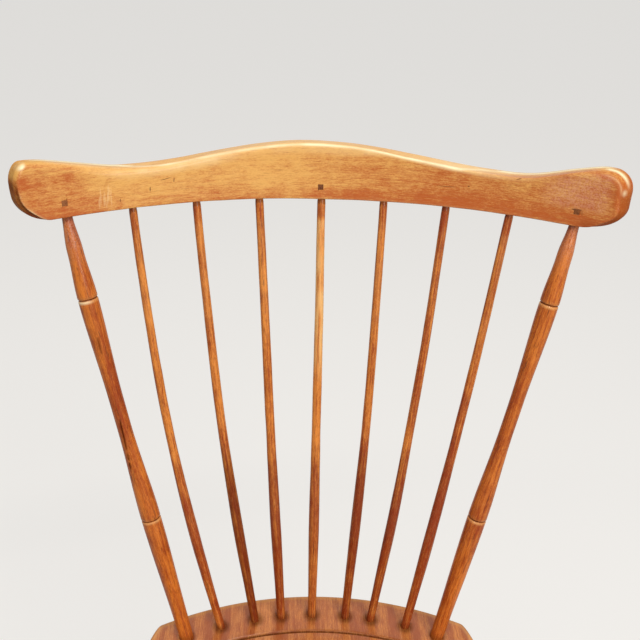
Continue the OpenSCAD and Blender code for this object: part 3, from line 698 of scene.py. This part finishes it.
def turned_masks(seed, length, scores, tone, grimy_ends=True, bare=None):
    """Masks of a turned piece: painted shade in scores, painted highlights beside them, grime at joints, and
    wear on the bare patch.
    """

    def tone_rule(d, a):
        broad, narrow = noise_around(d, a, 45, 0.9, seed + 40), noise_around(d, a, 15, 0.9, seed + 41)
        return np.clip(tone(d) + 0.24 * broad + 0.12 * narrow, 0, 1)

    def wear_rule(d, a):
        worn = 0 * d
        # Pale on the lips beside each score: a painted highlight, full on the side further along the piece,
        # half on the other
        for score in scores:
            worn = most(worn, bell(d, score + 0.55 * SCORE_W, 1.3))
            worn = most(worn, 0.5 * bell(d, score - 0.7 * SCORE_W, 1.2))
        worn = worn * (0.75 + 0.25 * noise_around(d, a, 1, 2, seed + 42))
        if bare:
            strands = noise_around(d, a, 22, 2.2, seed + 43)
            worn = most(worn, bare(d) * np.clip(0.75 + 0.9 * strands, 0, 1))
        return worn

    def grime_rule(d, a):
        dirt = 0 * d
        # Dark in each score: painted shade in the groove
        for score in scores:
            dirt = most(dirt, bell(d, score - 0.25, 0.75))
        if grimy_ends:
            dirt = most(dirt, 0.35 * ramp(d, 7, -8), 0.6 * ramp(d, length - 10, 12))
        return dirt

    return {"tone": tone_rule, "wear": wear_rule, "grime": grime_rule}


# Spindles

SPINDLE_HEAD_D = 8
SPINDLE_MID_D = 9.6
SPINDLE_SWELL_D = 11.6
SPINDLE_FOOT_D = 9.4
SPINDLE_SWELL_UP = 118
# Tone of each spindle, and how much darker it is painted low down, as shade
SPINDLE_LOOK = {-3: (0.34, 0), -2: (0.34, 0.5), -1: (0.4, 0.2), 0: (0.06, 0.1), 1: (0.4, 0.3), 2: (0.5, 0.2),
                3: (0.58, 0.1)}


def spindle(k, node, seed):
    length = span(ROW[k])
    tenon_r, foot_r, neck = SPINDLE_HEAD_D / 2 - 0.4, SPINDLE_FOOT_D / 2, (7, SPINDLE_HEAD_D + 0.3)
    outline = [(-HIDDEN_TENON, tenon_r), (-0.6, tenon_r)]
    outline += swelled([(0, SPINDLE_HEAD_D - 0.5), neck], 1)
    outline += swelled([neck, (length / 2, SPINDLE_MID_D), (length - SPINDLE_SWELL_UP, SPINDLE_SWELL_D),
                        (length, SPINDLE_FOOT_D)], 3)
    outline += [(length, foot_r), (length + HIDDEN_TENON, foot_r)]

    own_tone, dirt = SPINDLE_LOOK[k]

    def tone(d):
        # Darker low down: painted shade where the light falls off, a little lighter again near the foot
        value = own_tone + 0.22 * fade(d, 0, 60) + 0.42 * ramp(d, 230, 130) - 0.15 * ramp(d, 370, 80)
        return value + (0.14 * ramp(d, 190, 50) + 0.3 * fade(d, 20, 4) if k == 0 else 0)

    def bare(d):
        share, reach = (0.85, 165) if k == 0 else (0.1, 112)
        return share * ramp(d, 21, 5) * fade(d, reach, 44)

    masks = turned_masks(seed, length, (), tone, bare=bare)
    plain = masks["grime"]
    # Painted shade low down, on top of the grime at the ends
    masks["grime"] = lambda d, a: most(plain(d, a), dirt * ramp(d, 262, 40))
    turning(node, ROW[k], outline, seed, masks, "spindle_wood", sides=40, oval=0.025, tool=0.16,
            bow=sprung(k, 0.5, seed))


# Seat

SEAT_MIDDLE = np.array([0, (DECK_MARGIN - SEAT_FRONT) / 2])
SEAT_BACK_R = DECK_R + DECK_MARGIN
# Angle from the middle of the rear edge to its corner, round the centre of the deck's row, in radians
SEAT_CORNER = STILE_K * FOOT_GAP / DECK_R + DECK_END / SEAT_BACK_R
# Reach of the curves that lead from the rear corner and from the widest point
CORNER_REACH = 17
SIDE_REACH = 70
SIDE_FILL = 0.72
FRONT_FILL = 0.62
# The hollow: its slope, and the shares of the way out at which the front and the rim rise
HOLLOW_RUN = 90
FRONT_FROM = 0.47
FRONT_RUN = 0.42
RIM_FROM = 0.55
FRONT_OPEN = 0.75
POMMEL_W = 34
POMMEL_SHARE = 0.8
TOP_EDGE = 4
GUTTER_AT = DECK_R - GUTTER_INSET


def bezier(a, b, c, d, t):
    t = t[:, None]
    return a * (1 - t) ** 3 + 3 * b * (1 - t) ** 2 * t + 3 * c * (1 - t) * t**2 + d * t**3


def seat_outline(steps=56):
    """Closed outline of the seat, from the middle of the rear edge round the right side."""
    t = np.arange(steps + 1) / steps
    a = SEAT_CORNER * t
    rear = at(SEAT_BACK_R * np.sin(a), SEAT_BACK_R * np.cos(a) - DECK_R)
    tangent = np.array([math.cos(SEAT_CORNER), -math.sin(SEAT_CORNER)])
    wide = np.array([SEAT_W / 2, WIDE_BACK - SEAT_FRONT])
    front = np.array([0, -SEAT_FRONT])
    side = bezier(rear[-1], rear[-1] + CORNER_REACH * tangent, wide + [0, SIDE_REACH], wide, t[:-1])
    nose = bezier(wide, wide - [0, SIDE_FILL * WIDE_BACK], front + [FRONT_FILL * SEAT_W / 2, 0], front, t)
    half = np.vstack([rear[:-1], side, nose])
    return np.vstack([half, half[-2:0:-1] * [-1, 1]])


SEAT_EDGE = seat_outline()


def seat_share(xy):
    """How far along the way from the seat's middle to its outline each point lies."""
    rim, v = SEAT_EDGE - SEAT_MIDDLE, xy - SEAT_MIDDLE
    x, y = v[..., 0], v[..., 1]
    reach = np.interp(np.arctan2(x, y), np.arctan2(*rim.T), np.hypot(*rim.T), period=2 * np.pi)
    return np.hypot(x, y) / reach


def seat_top(xy):
    """Height of the carved top: the saddle, its rim, the pommel and the gutter."""
    x, y = xy[..., 0], xy[..., 1]
    out = np.hypot(x, y + DECK_R)
    ahead = GUTTER_AT - GUTTER_R - out
    front = ramp(-y / SEAT_FRONT, FRONT_FROM, FRONT_RUN)
    rim = ramp(seat_share(xy), RIM_FROM, 1 - RIM_FROM) * (1 - FRONT_OPEN * front)
    pommel = POMMEL_SHARE * bell(x, 0, POMMEL_W) * front
    saddle = SADDLE_DEPTH * ease(ahead / HOLLOW_RUN) * (1 - rim) * (1 - pommel)
    gouge = np.sqrt(most(0, GUTTER_R**2 - (out - GUTTER_AT) ** 2))
    adze = 0.25 * noise(x / 22, y / 30, 0, 61) * ease(ahead / 20)
    return SEAT_H - saddle - most(0, gouge - GUTTER_R / 3) - adze


def seat():
    """The plank as rings: carved top from its middle out, rounded edge, side, bevel and underside."""
    inner = inward(SEAT_EDGE, TOP_EDGE)
    reach = np.hypot(*(inner + [0, DECK_R]).T)
    direction = (inner + [0, DECK_R]) / reach[:, None]
    low, high = GUTTER_AT - GUTTER_R - 0.4, GUTTER_AT + GUTTER_R + 0.4
    tops = [t * np.minimum(reach, low) for t in np.linspace(0, 1, 52)[1:]]
    tops += [np.minimum(reach, edge) for edge in np.linspace(low, high, 16)[1:]]
    tops += [np.where(reach > high, mix(high, reach, t), reach) for t in np.linspace(0, 1, 12)[1:]]
    tops = [direction * top[:, None] - [0, DECK_R] for top in tops]
    rings = [(xy, seat_top(xy)) for xy in tops]
    rim = seat_top(inner)
    for turn in np.radians([18, 36, 54, 72, 90]):
        xy = inward(SEAT_EDGE, TOP_EDGE * (1 - math.sin(turn)))
        rings.append((xy, rim - TOP_EDGE * (1 - math.cos(turn))))
    rings += [(SEAT_EDGE, mix(rim - TOP_EDGE, SEAT_LOW + BEVEL_H, t)) for t in (0.3, 0.65, 1.0)]
    for t in np.linspace(0, 1, 10)[1:]:
        rings.append((mix(SEAT_EDGE, SEAT_MIDDLE, 0.1 * t**1.3), SEAT_LOW + BEVEL_H * (1 - t) ** 1.6))
    rings += [(mix(SEAT_MIDDLE, SEAT_EDGE, share), SEAT_LOW) for share in (0.8, 0.6, 0.4, 0.2)]
    points = np.vstack([at(*xy.T, height) for xy, height in rings])
    x, y, z = points.T
    on_side = (z > SEAT_LOW + 1) & (z < SEAT_H - SADDLE_DEPTH - 2)
    points[:, 2] += 0.25 * noise(x / 60, y / 60, z / 20, 62) * on_side
    middle = np.array([[0, -DECK_R]])
    points = np.vstack([points, at(*middle.T, seat_top(middle)), [*SEAT_MIDDLE, SEAT_LOW]])
    piece("seat", "seat_wood", points, capped_faces(len(rings), len(SEAT_EDGE)), points[:, [1, 0, 2]],
          seat_masks(points), 50, 2e-6, "_wood_plank")


def seat_masks(points):
    x, y, z = points.T
    above = z > SEAT_LOW + BEVEL_H
    patch = noise(x / 60, y / 90, z / 30, 63)
    sitter = ease(1.2 - np.hypot(x / 150, (y + 180) / 130)) * above
    wear = 0.55 * sitter + 0.5 * bell(seat_share(points[:, :2]), 0.985, 0.012) * above
    grime = 0.85 * bell(np.hypot(x, y + DECK_R), GUTTER_AT, 2.2) * (z > SEAT_LOW + BEVEL_H + 5)
    for _, foot in ROW.values():
        near = np.hypot(x - foot[0], y - foot[1])
        grime = most(grime, 0.7 * ramp(near, 14, -8) * (z > SEAT_H - 3))
    return clipped(tone=0.5 + 0.25 * patch - 0.15 * sitter, wear=wear, grime=grime)


# Legs

LEG_TOP_D = 24
LEG_NECK_D = 19
LEG_UPPER_D = 31
LEG_WAIST_D = 26.5
LEG_LOWER_D = 33
LEG_FOOT_D = 20
LEG_SCORE_1 = 92
LEG_SCORE_2 = 158
# How near a leg's ends its rings tilt to lie flat
LEG_END_RUN = 26


def leg_ends(side, socket, splay, rake):
    """A leg's axis at the floor and at the height of the deck."""
    top = np.array([side * socket[0], socket[1], SEAT_H])
    return top + SEAT_H * np.array([side * tan(splay), tan(rake), -1]), top


# Socket, sideways splay and backward rake of each pair
LEG_PAIRS = {"front": ((140, 70 - SEAT_FRONT), 9.5, -6.5), "rear": ((98, -62), 10, 14)}
LEGS = {f"{row}_{name}": leg_ends(side, *line) for row, line in LEG_PAIRS.items()
        for name, side in (("left", -1), ("right", 1))}


def leg_at(ends, up):
    foot, top = ends
    return foot + unit(top - foot) * up


def leg_end_cut(foot, length):
    """Cuts the foot level with the floor and the tenon along the carved seat, a little proud."""

    def cut(along, side, axis):
        low = along - side[..., 2] / axis[2] * np.clip(1 - along / LEG_END_RUN, 0, 1)
        p = foot + along[..., None] * axis + side
        level = along + (seat_top(p[..., :2]) + PROUD - p[..., 2]) / axis[2]
        return np.where(along > length - LEG_END_RUN, np.minimum(low, level), low)

    return cut


def leg(node, ends, seed):
    length = span(ends)
    under = length * SEAT_LOW / SEAT_H
    upper = under - LEG_SCORE_1
    scores = (LEG_SCORE_2, upper)
    foot_r, top_r = LEG_FOOT_D / 2, LEG_TOP_D / 2
    outline = [(0, foot_r - 1.6), (0.25, foot_r - 0.8), (0.9, foot_r - 0.2)]
    outline += swelled([(2, LEG_FOOT_D + 0.06), (LEG_SCORE_2, LEG_LOWER_D), (mix(*scores, 0.5), LEG_WAIST_D),
                        (upper, LEG_UPPER_D), (under, LEG_NECK_D)], 4, scores)
    outline += [(under, LEG_NECK_D / 2)]
    outline += [(length - 20, top_r - 0.6), (length - 12, top_r - 0.3), (length + 6, top_r)]
    masks = turned_masks(seed, length, scores, lambda d: 0.5, grimy_ends=False)
    wear = masks["wear"]

    def scuffed(d, a):
        scuff = 0.5 + 0.5 * noise_around(d, a, 14, 1.5, seed + 44)
        return most(wear(d, a), ramp(d, 24, -24) * scuff * 0.8)

    masks["wear"] = scuffed
    turning(node, ends, outline, seed, masks, cut=leg_end_cut(ends[0], length))


# Wedges

WEDGE_HEAD = 4
WEDGE_DEEP = 20
# How far a wedge stands out of its tenon
WEDGE_PROUD = 0.15


def wedge(node, centre, axis, normal, radius, seed):
    """Wedge across a tenon's end: its end face is a strip of the tenon's circle, a hair proud.

    axis points out of the end, and normal is square to the end's surface.
    """
    wide = unit([-axis[1], axis[0], 0])
    thin = np.cross(axis, wide)
    side = np.repeat([1, -1], 12)
    x = side * np.tile(np.linspace(-1, 1, 12), 2) * WEDGE_HEAD / 2
    rim = at(x, side * np.sqrt(radius**2 - x * x))
    rings, grain = [], []
    for depth, share in ((0.0, 0.93), (0.12, 1.0), (WEDGE_DEEP / 2, 0.6), (WEDGE_DEEP, 0.25)):
        across = rim * [share, 0.985]
        flat = across @ np.array([thin, wide])
        slip = flat @ normal / (axis @ normal)
        rings.append(centre + flat - (slip + depth)[:, None] * axis)
        grain.append(at(-depth, *across.T))
    points = np.vstack([*rings, centre, centre - WEDGE_DEEP * axis])
    grain = np.vstack([*grain, [0, 0, 0], [-WEDGE_DEEP, 0, 0]]) + seed * 13.0
    masks = {"tone": 0.25, "wear": 0.3, "grime": 0.25}
    piece(node, "wedge_wood", points, capped_faces(len(rings), len(rim)), grain, masks, 40)


def leg_wedge(node, ends, seed):
    foot, top = ends
    height = seat_top(top[None, :2])[0]
    x, y, _ = leg_at(ends, span(ends) * height / SEAT_H)
    step = 4
    z = seat_top(np.array([[x, y], [x + step, y], [x - step, y], [x, y + step], [x, y - step]]))
    normal = np.array([z[2] - z[1], z[4] - z[3], 2 * step])
    centre = np.array([x, y, z[0] + PROUD + WEDGE_PROUD])
    wedge(node, centre, unit(top - foot), normal, LEG_TOP_D / 2 - 0.5, seed)


def stile_wedge(k, node, seed):
    head, foot = ROW[k]
    axis = unit(foot - head)
    centre = foot + axis * (SEAT_T / -axis[2] + PROUD + WEDGE_PROUD)
    wedge(node, centre, axis, np.array([0, 0, -1]), STILE_FOOT_D / 2 - 0.2, seed)


# Stretchers

STRETCHER_UP = 14
STRETCHER_END_D = 14
STRETCHER_SWELL_D = 23
STRETCHER_SCORES = 92
MIDDLE_D = 12.5
MIDDLE_SWELL = 1.2


def stretcher(node, ends, inset, end_d, seed):
    length = span(ends)
    mid, full = length / 2, STRETCHER_SWELL_D
    scores = (mid - STRETCHER_SCORES / 2, mid + STRETCHER_SCORES / 2)
    outline = [(inset - HIDDEN_TENON, end_d / 2)]
    outline += swelled([(inset - 1, end_d), (scores[0], full), (mid, full + MIDDLE_SWELL), (scores[1], full),
                        (length - inset + 1, end_d)], 4, scores)
    outline += [(length - inset + 1, end_d / 2), (length - inset + HIDDEN_TENON, end_d / 2)]
    masks = turned_masks(seed, length, scores, lambda d: 0.48, grimy_ends=False)
    turning(node, ends, outline, seed, masks, sides=56)


def stretchers():
    """The H: a stretcher from the front to the rear leg on each side, and one between their middles."""
    front_left, front_right, rear_left, rear_right = (
        leg_at(ends, LEG_SCORE_2 + STRETCHER_UP) for ends in LEGS.values())
    stretcher("side_stretcher_left", (front_left, rear_left), LEG_LOWER_D / 2, STRETCHER_END_D, 81)
    stretcher("side_stretcher_right", (front_right, rear_right), LEG_LOWER_D / 2, STRETCHER_END_D, 82)
    middles = ((front_left + rear_left) / 2, (front_right + rear_right) / 2)
    stretcher("centre_stretcher", middles, STRETCHER_SWELL_D / 2, MIDDLE_D, 83)


# Materials


def srgb(*colour):
    """Linear colour from 8-bit display values."""
    c = np.array(colour) / 255
    return (*np.where(c <= 0.04045, c / 12.92, ((c + 0.055) / 1.055) ** 2.4).tolist(), 1.0)


class Graph:
    """The nodes of a material or world."""

    def __init__(self, owner):
        owner.use_nodes = True
        self.tree = owner.node_tree

    def put(self, node, key, value):
        socket = node.inputs[key]
        if isinstance(value, Value):
            self.tree.links.new(value.socket, socket)
        elif socket.type == "VECTOR" and isinstance(value, float):
            socket.default_value = (value, value, value)
        else:
            socket.default_value = value

    def add(self, kind, output, inputs=None, **settings):
        node = self.tree.nodes.new(kind)
        for key, value in settings.items():
            setattr(node, key, value)
        for key, value in (inputs or {}).items():
            self.put(node, key, value)
        return Value(self, node.outputs[output])

    def end(self, name, inputs):
        """Sets inputs of the node that was there from the start."""
        for key, value in inputs.items():
            self.put(self.tree.nodes[name], key, value)

    def mask(self, name, output="Fac"):
        return self.add("ShaderNodeAttribute", output, attribute_name=name)

    def blend(self, factor, a, b):
        inputs = {"Factor": factor, "A": a, "B": b}
        return self.add("ShaderNodeMix", "Result", inputs, data_type="RGBA")


class Value:
    """A number, vector or colour that nodes work out. Each sum with it adds a node."""

    def __init__(self, graph, socket):
        self.graph = graph
        self.socket = socket

    def work(self, operation, other=0.0, output=0):
        kind = "ShaderNodeMath" if self.socket.type == "VALUE" else "ShaderNodeVectorMath"
        return self.graph.add(kind, output, {0: self, 1: other}, operation=operation)

    def __add__(self, other):
        return self.work("ADD", other)

    def __sub__(self, other):
        return self.work("SUBTRACT", other)

    def __mul__(self, other):
        return self.work("MULTIPLY", other)

    def most(self, other):
        return self.work("MAXIMUM", other)

    def dot(self, direction):
        return self.work("DOT_PRODUCT", direction, "Value")

    def noise(self, scale, detail=2.0, rough=0.5, warp=0.0, output="Fac"):
        """Noise at this place stretched by scale, three factors."""
        inputs = {"Vector": self * scale, "Scale": 1.0, "Detail": detail, "Roughness": rough}
        return self.graph.add("ShaderNodeTexNoise", output, inputs | {"Distortion": warp})

    def between(self, low, high, out_low=0.0, out_high=1.0):
        inputs = {"Value": self, "From Min": low, "From Max": high, "To Min": out_low, "To Max": out_high}
        return self.graph.add("ShaderNodeMapRange", 0, inputs, interpolation_type="SMOOTHSTEP")


# Marks on the crest rail's front: distance along the bend, height, half length, half width and tilt
CREST_MARKS = [
    (148.6, 22.4, 1, 0.8, 0), (-150.4, 23.9, 2.2, 0.5, 80), (-158.5, 25.6, 5, 0.35, 12),
    (-174.7, 17, 2.4, 0.5, 85), (-205, 9.2, 1.6, 0.45, 80), (127, 20, 10, 0.3, 2),
    (196.8, 36.1, 2.6, 0.4, 20), (254.4, 15.4, 2.9, 0.7, 0),
]
# Pale ray flecks that cross the grain, in the same terms
CREST_RAYS = [
    (-225.2, 10, 6, 1, 82), (-223.4, 16, 8, 0.6, 88), (-220.2, 12, 7, 1.3, 84), (-217.6, 11, 8, 0.7, 79),
    (-215.8, 17, 8.5, 1.2, 83), (-213.6, 13, 9, 0.7, 87),
]
# Colour of the milky haze, on the rail's right end a painted reflection
MILK = srgb(232, 180, 156)
# Colour of painted highlights
BRIGHT = srgb(255, 244, 200)


def spot(place, mark):
    """1 inside a long thin mark on the front face and 0 outside it."""
    s, z, half_length, half_width, tilt = mark
    away = place - (s / 10, z / 10, -CREST_T / 20)
    c, d = math.cos(math.radians(tilt)), math.sin(math.radians(tilt))
    along, across = away.dot((c, d, 0)) * (10 / half_length), away.dot((-d, c, 0)) * (10 / half_width)
    inside = (along * along + across * across).between(0.3, 1.6, 1, 0)
    return inside * away.dot((0, 0, 1)).work("LESS_THAN", 0.3)


def wood(name, golden, brown, dark, pale, rough=0.45, streak=1, ring=0.35, ring_w=0.42, pith=(2.8, 1.9),
         pores=0.5, gloss=0.22, fine=0.9, flecks=0, marks=(), rays=()):
    """Old varnished wood that follows the grain coordinates of its piece.

    golden and brown are its two tones, dark the colour of grime, painted shade and marks, pale that of
    rubbed wood and of highlights painted with the wear.
    """
    golden, brown, dark, pale = srgb(*golden), srgb(*brown), srgb(*dark), srgb(*pale)
    material = bpy.data.materials.new(name)
    g = Graph(material)
    grain = g.mask("grain", "Vector")
    wavy = grain + (grain.noise((0.16, 0.5, 0.5), output="Color") - 0.5) * (0, 0.28, 0.28)
    bent = grain + (grain.noise((2.2, 2.2, 2.2), 1, output="Color") - 0.5) * (0.16, 0, 0)
    bands = wavy.noise((0.11, 2.6, 2.6), 3, 0.55)
    streaks = wavy.noise((0.32, 8, 8), 3, 0.6)
    fibres = wavy.noise((1.4, 30, 30), 2, 0.6)
    threads = wavy.noise((1.3, 27, 27), 1)
    mottle = grain.noise((0.55, 0.9, 0.9), 3, 0.55, 0.4)
    speckle = grain.noise((5, 9, 9), 2, 0.6)

    from_pith = (wavy - (0, *pith)) * (0.02, 1, 1)
    radius = from_pith.work("LENGTH", output="Value")
    late = (radius * (2 * math.pi / ring_w) + bands * 3).work("SINE").between(-0.2, 1)
    shade = g.mask("tone") + (mottle - 0.5) * 0.75 + (bands - 0.5) * (0.9 * streak)
    shade = shade + (streaks - 0.5) * (1.05 * streak) + late * (0.5 * ring)
    shade = shade + (threads - 0.5) * fine + (speckle - 0.5) * (0.8 * fine)
    colour = g.blend(shade.between(-0.1, 1.1), golden, brown)

    pore = wavy.noise((1.1, 13, 13), 1).between(0.60, 0.74, 0, pores)
    fine_pore = fibres.between(0.58, 0.75, 0, 0.55 * pores)
    any_pore = pore.most(fine_pore)
    colour = g.blend(any_pore, colour, tuple(mix(a, b, 0.25) for a, b in zip(brown, dark)))
    colour = g.blend(wavy.noise((0.5, 6, 6), 2, 0.6).between(0.6, 0.72, 0, flecks), colour, dark)
    colour = g.blend(fibres.between(0.5, 0.28, 0, 0.16 * streak), colour, pale)

    grime = g.mask("grime")
    # Milky haze, on the rail's right end a painted reflection
    milky = g.mask("haze") * grain.noise((7, 7, 7), 1).between(0.35, 0.65, 0.05, 0.3)
    colour = g.blend(milky, colour, MILK)
    # Pale where rubbed, and where highlights are painted in with the wear
    colour = g.blend(g.mask("wear") * mottle.between(0.2, 0.6, 0.65, 1) * 0.8, colour, pale)
    # Painted highlights, nearly white
    colour = g.blend(g.mask("shine"), colour, BRIGHT)
    # Dark where grimy, and where shade is painted
    colour = g.blend(grime * streaks.between(0.25, 0.7, 0.7, 1), colour, dark)
    dents = [spot(grain, mark) for mark in marks]
    for ray in rays:
        colour = g.blend(spot(bent, ray) * 0.21, colour, pale)
    for dent in dents:
        colour = g.blend(dent * 0.8, colour, dark)

    uneven = grain.noise((1.1, 1.6, 1.6), 3, 0.6).between(0.25, 0.75, rough - 0.09, rough + 0.12)
    matt = grime.most(g.mask("dull"))
    relief = streaks * 0.5 - pore * 0.9 - fine_pore * 0.7 + grain.noise((2.2, 3, 3)) * 0.5
    for dent in dents:
        relief -= dent * 1.5
    g.end("Principled BSDF", {
        "Base Color": colour,
        "Roughness": uneven + any_pore * 0.25 + grime * 0.12,
        "Specular IOR Level": matt.between(0.1, 0.9, 0.16, 0.02),
        "Coat Weight": matt.between(0.1, 0.9, gloss, 0),
        "Coat Roughness": 0.17,
        "Normal": g.add("ShaderNodeBump", 0, {"Strength": 0.24, "Distance": 0.0003, "Height": relief}),
    })
    return material


# Stage

PALE = (1.0, 0.985, 0.96, 1.0)
FLOOR_GREY = srgb(140, 138, 135)
FLOOR_R = 40
FLOOR_SEEN = 0.645
WORLD_SEEN = 0.74
WORLD_LIGHT = 0.32


def seen_or_not(g, seen, unseen):
    """One value where the eye, a reflection or clear matter sees it, and another elsewhere."""
    kinds = ("Is Camera Ray", "Is Glossy Ray", "Is Transmission Ray")
    eye, glossy, clear = (g.add("ShaderNodeLightPath", kind) for kind in kinds)
    share = eye.most(glossy).most(clear)
    return g.add("ShaderNodeMapRange", 0, {"Value": share, "To Min": unseen, "To Max": seen})


def stage():
    """Pale floor, soft lamps and an even pale world."""
    bpy.ops.mesh.primitive_circle_add(vertices=96, radius=FLOOR_R, fill_type="NGON", location=(0, 0, 0))
    floor = bpy.context.active_object
    floor.name = "floor"
    paper = bpy.data.materials.new("floor_paper")
    g = Graph(paper)
    g.end("Principled BSDF", {"Base Color": FLOOR_GREY, "Roughness": 0.9, "Specular IOR Level": 0.0,
                              "Emission Color": PALE, "Emission Strength": seen_or_not(g, FLOOR_SEEN, 0.0)})
    floor.data.materials.append(paper)

    world = bpy.data.worlds.new("studio")
    bpy.context.scene.world = world
    g = Graph(world)
    g.end("Background", {"Color": PALE, "Strength": seen_or_not(g, WORLD_SEEN, WORLD_LIGHT)})

    lamp("key", (0.3, -1.25, 3.0), (0, 0, 0.9), (2.8, 0.3), 49, (1.0, 0.965, 0.91))
    lamp("fill", (1.3, -2.4, 1.6), (0, 0, 0.8), (1.2, 1.0), 37, (1.0, 0.98, 0.96))
    lamp("top", (-0.2, 1.7, 2.2), (0, 0.1, 0.9), (2.4, 0.5), 10, (1.0, 0.97, 0.93))


def lamp(name, place, aim, size, power, colour):
    data = bpy.data.lights.new(name, "AREA")
    data.shape = "RECTANGLE"
    data.size, data.size_y = size
    data.energy = power
    data.color = colour
    obj = linked(name, data)
    obj.location = place
    obj.rotation_euler = (Vector(aim) - Vector(place)).to_track_quat("-Z", "Y").to_euler()


CAMERA_PLACE = (-0.0428, -0.6514, 1.2275)
CAMERA_DOWN = 27.5
CAMERA_YAW = 2.98
CAMERA_ROLL = 1.98
LENS = 50.625


def camera():
    down, yaw, roll = (math.radians(v) for v in (CAMERA_DOWN, CAMERA_YAW, CAMERA_ROLL))
    forward = Vector((math.sin(yaw) * math.cos(down), math.cos(yaw) * math.cos(down), -math.sin(down)))
    right = forward.cross(Vector((0, 0, 1))).normalized()
    up = right.cross(forward)
    right, up = right * math.cos(roll) + up * math.sin(roll), up * math.cos(roll) - right * math.sin(roll)
    data = bpy.data.cameras.new("camera")
    data.lens = LENS
    data.sensor_width = 36
    data.clip_start = 0.01
    obj = linked("camera", data)
    matrix = Matrix((right, up, -forward)).transposed().to_4x4()
    matrix.translation = Vector(CAMERA_PLACE)
    obj.matrix_world = matrix
    bpy.context.scene.camera = obj


def build():
    camera()
    stage()
    WOODS.update(
        crest_wood=wood("crest_maple", (231, 175, 96), (184, 92, 38), (92, 38, 15), (255, 228, 172),
                        streak=0.6, ring=0.16, ring_w=0.5, pith=(-7.0, 6.0), pores=0.45, gloss=0.16,
                        fine=1.2, flecks=0.12, marks=CREST_MARKS, rays=CREST_RAYS),
        turned_wood=wood("turned_maple", (216, 123, 44), (150, 58, 12), (66, 24, 8), (240, 180, 112),
                         ring=0.4, pores=0.6, flecks=0.65),
        spindle_wood=wood("spindle_hickory", (228, 142, 60), (146, 54, 12), (66, 22, 8), (250, 204, 134),
                          streak=1.1, ring=0.5, ring_w=0.3, pith=(1.4, 0.8), pores=0.7, flecks=0.5),
        seat_wood=wood("seat_pine", (214, 136, 66), (156, 76, 32), (68, 32, 14), (232, 178, 110), ring=0.8,
                       ring_w=0.7, pith=(1.0, 9.0), pores=0.35),
        pin_wood=wood("pin_walnut", (158, 98, 56), (92, 48, 24), (44, 22, 12), (168, 112, 70), rough=0.55,
                      gloss=0.1),
        wedge_wood=wood("wedge_maple", (222, 160, 90), (176, 98, 46), (76, 38, 18), (236, 192, 130)),
    )

    crest_rail()
    for k, place in ((-STILE_K, "left"), (0, "centre"), (STILE_K, "right")):
        crest_pin(k, "crest_pin_" + place)
    for k, side in ((-STILE_K, "left"), (STILE_K, "right")):
        stile(k, "stile_" + side, 7 + (k > 0))
        stile_wedge(k, "stile_wedge_" + side, 90 + (k > 0))
    for k in range(1 - STILE_K, STILE_K):
        spindle(k, f"spindle_{k + STILE_K}", 20 + k)
    seat()
    for i, (name, ends) in enumerate(LEGS.items()):
        leg("leg_" + name, ends, 70 + i)
        leg_wedge("leg_wedge_" + name, ends, 94 + i)
    stretchers()


build()
bpy.context.scene.view_settings.view_transform = "Standard"
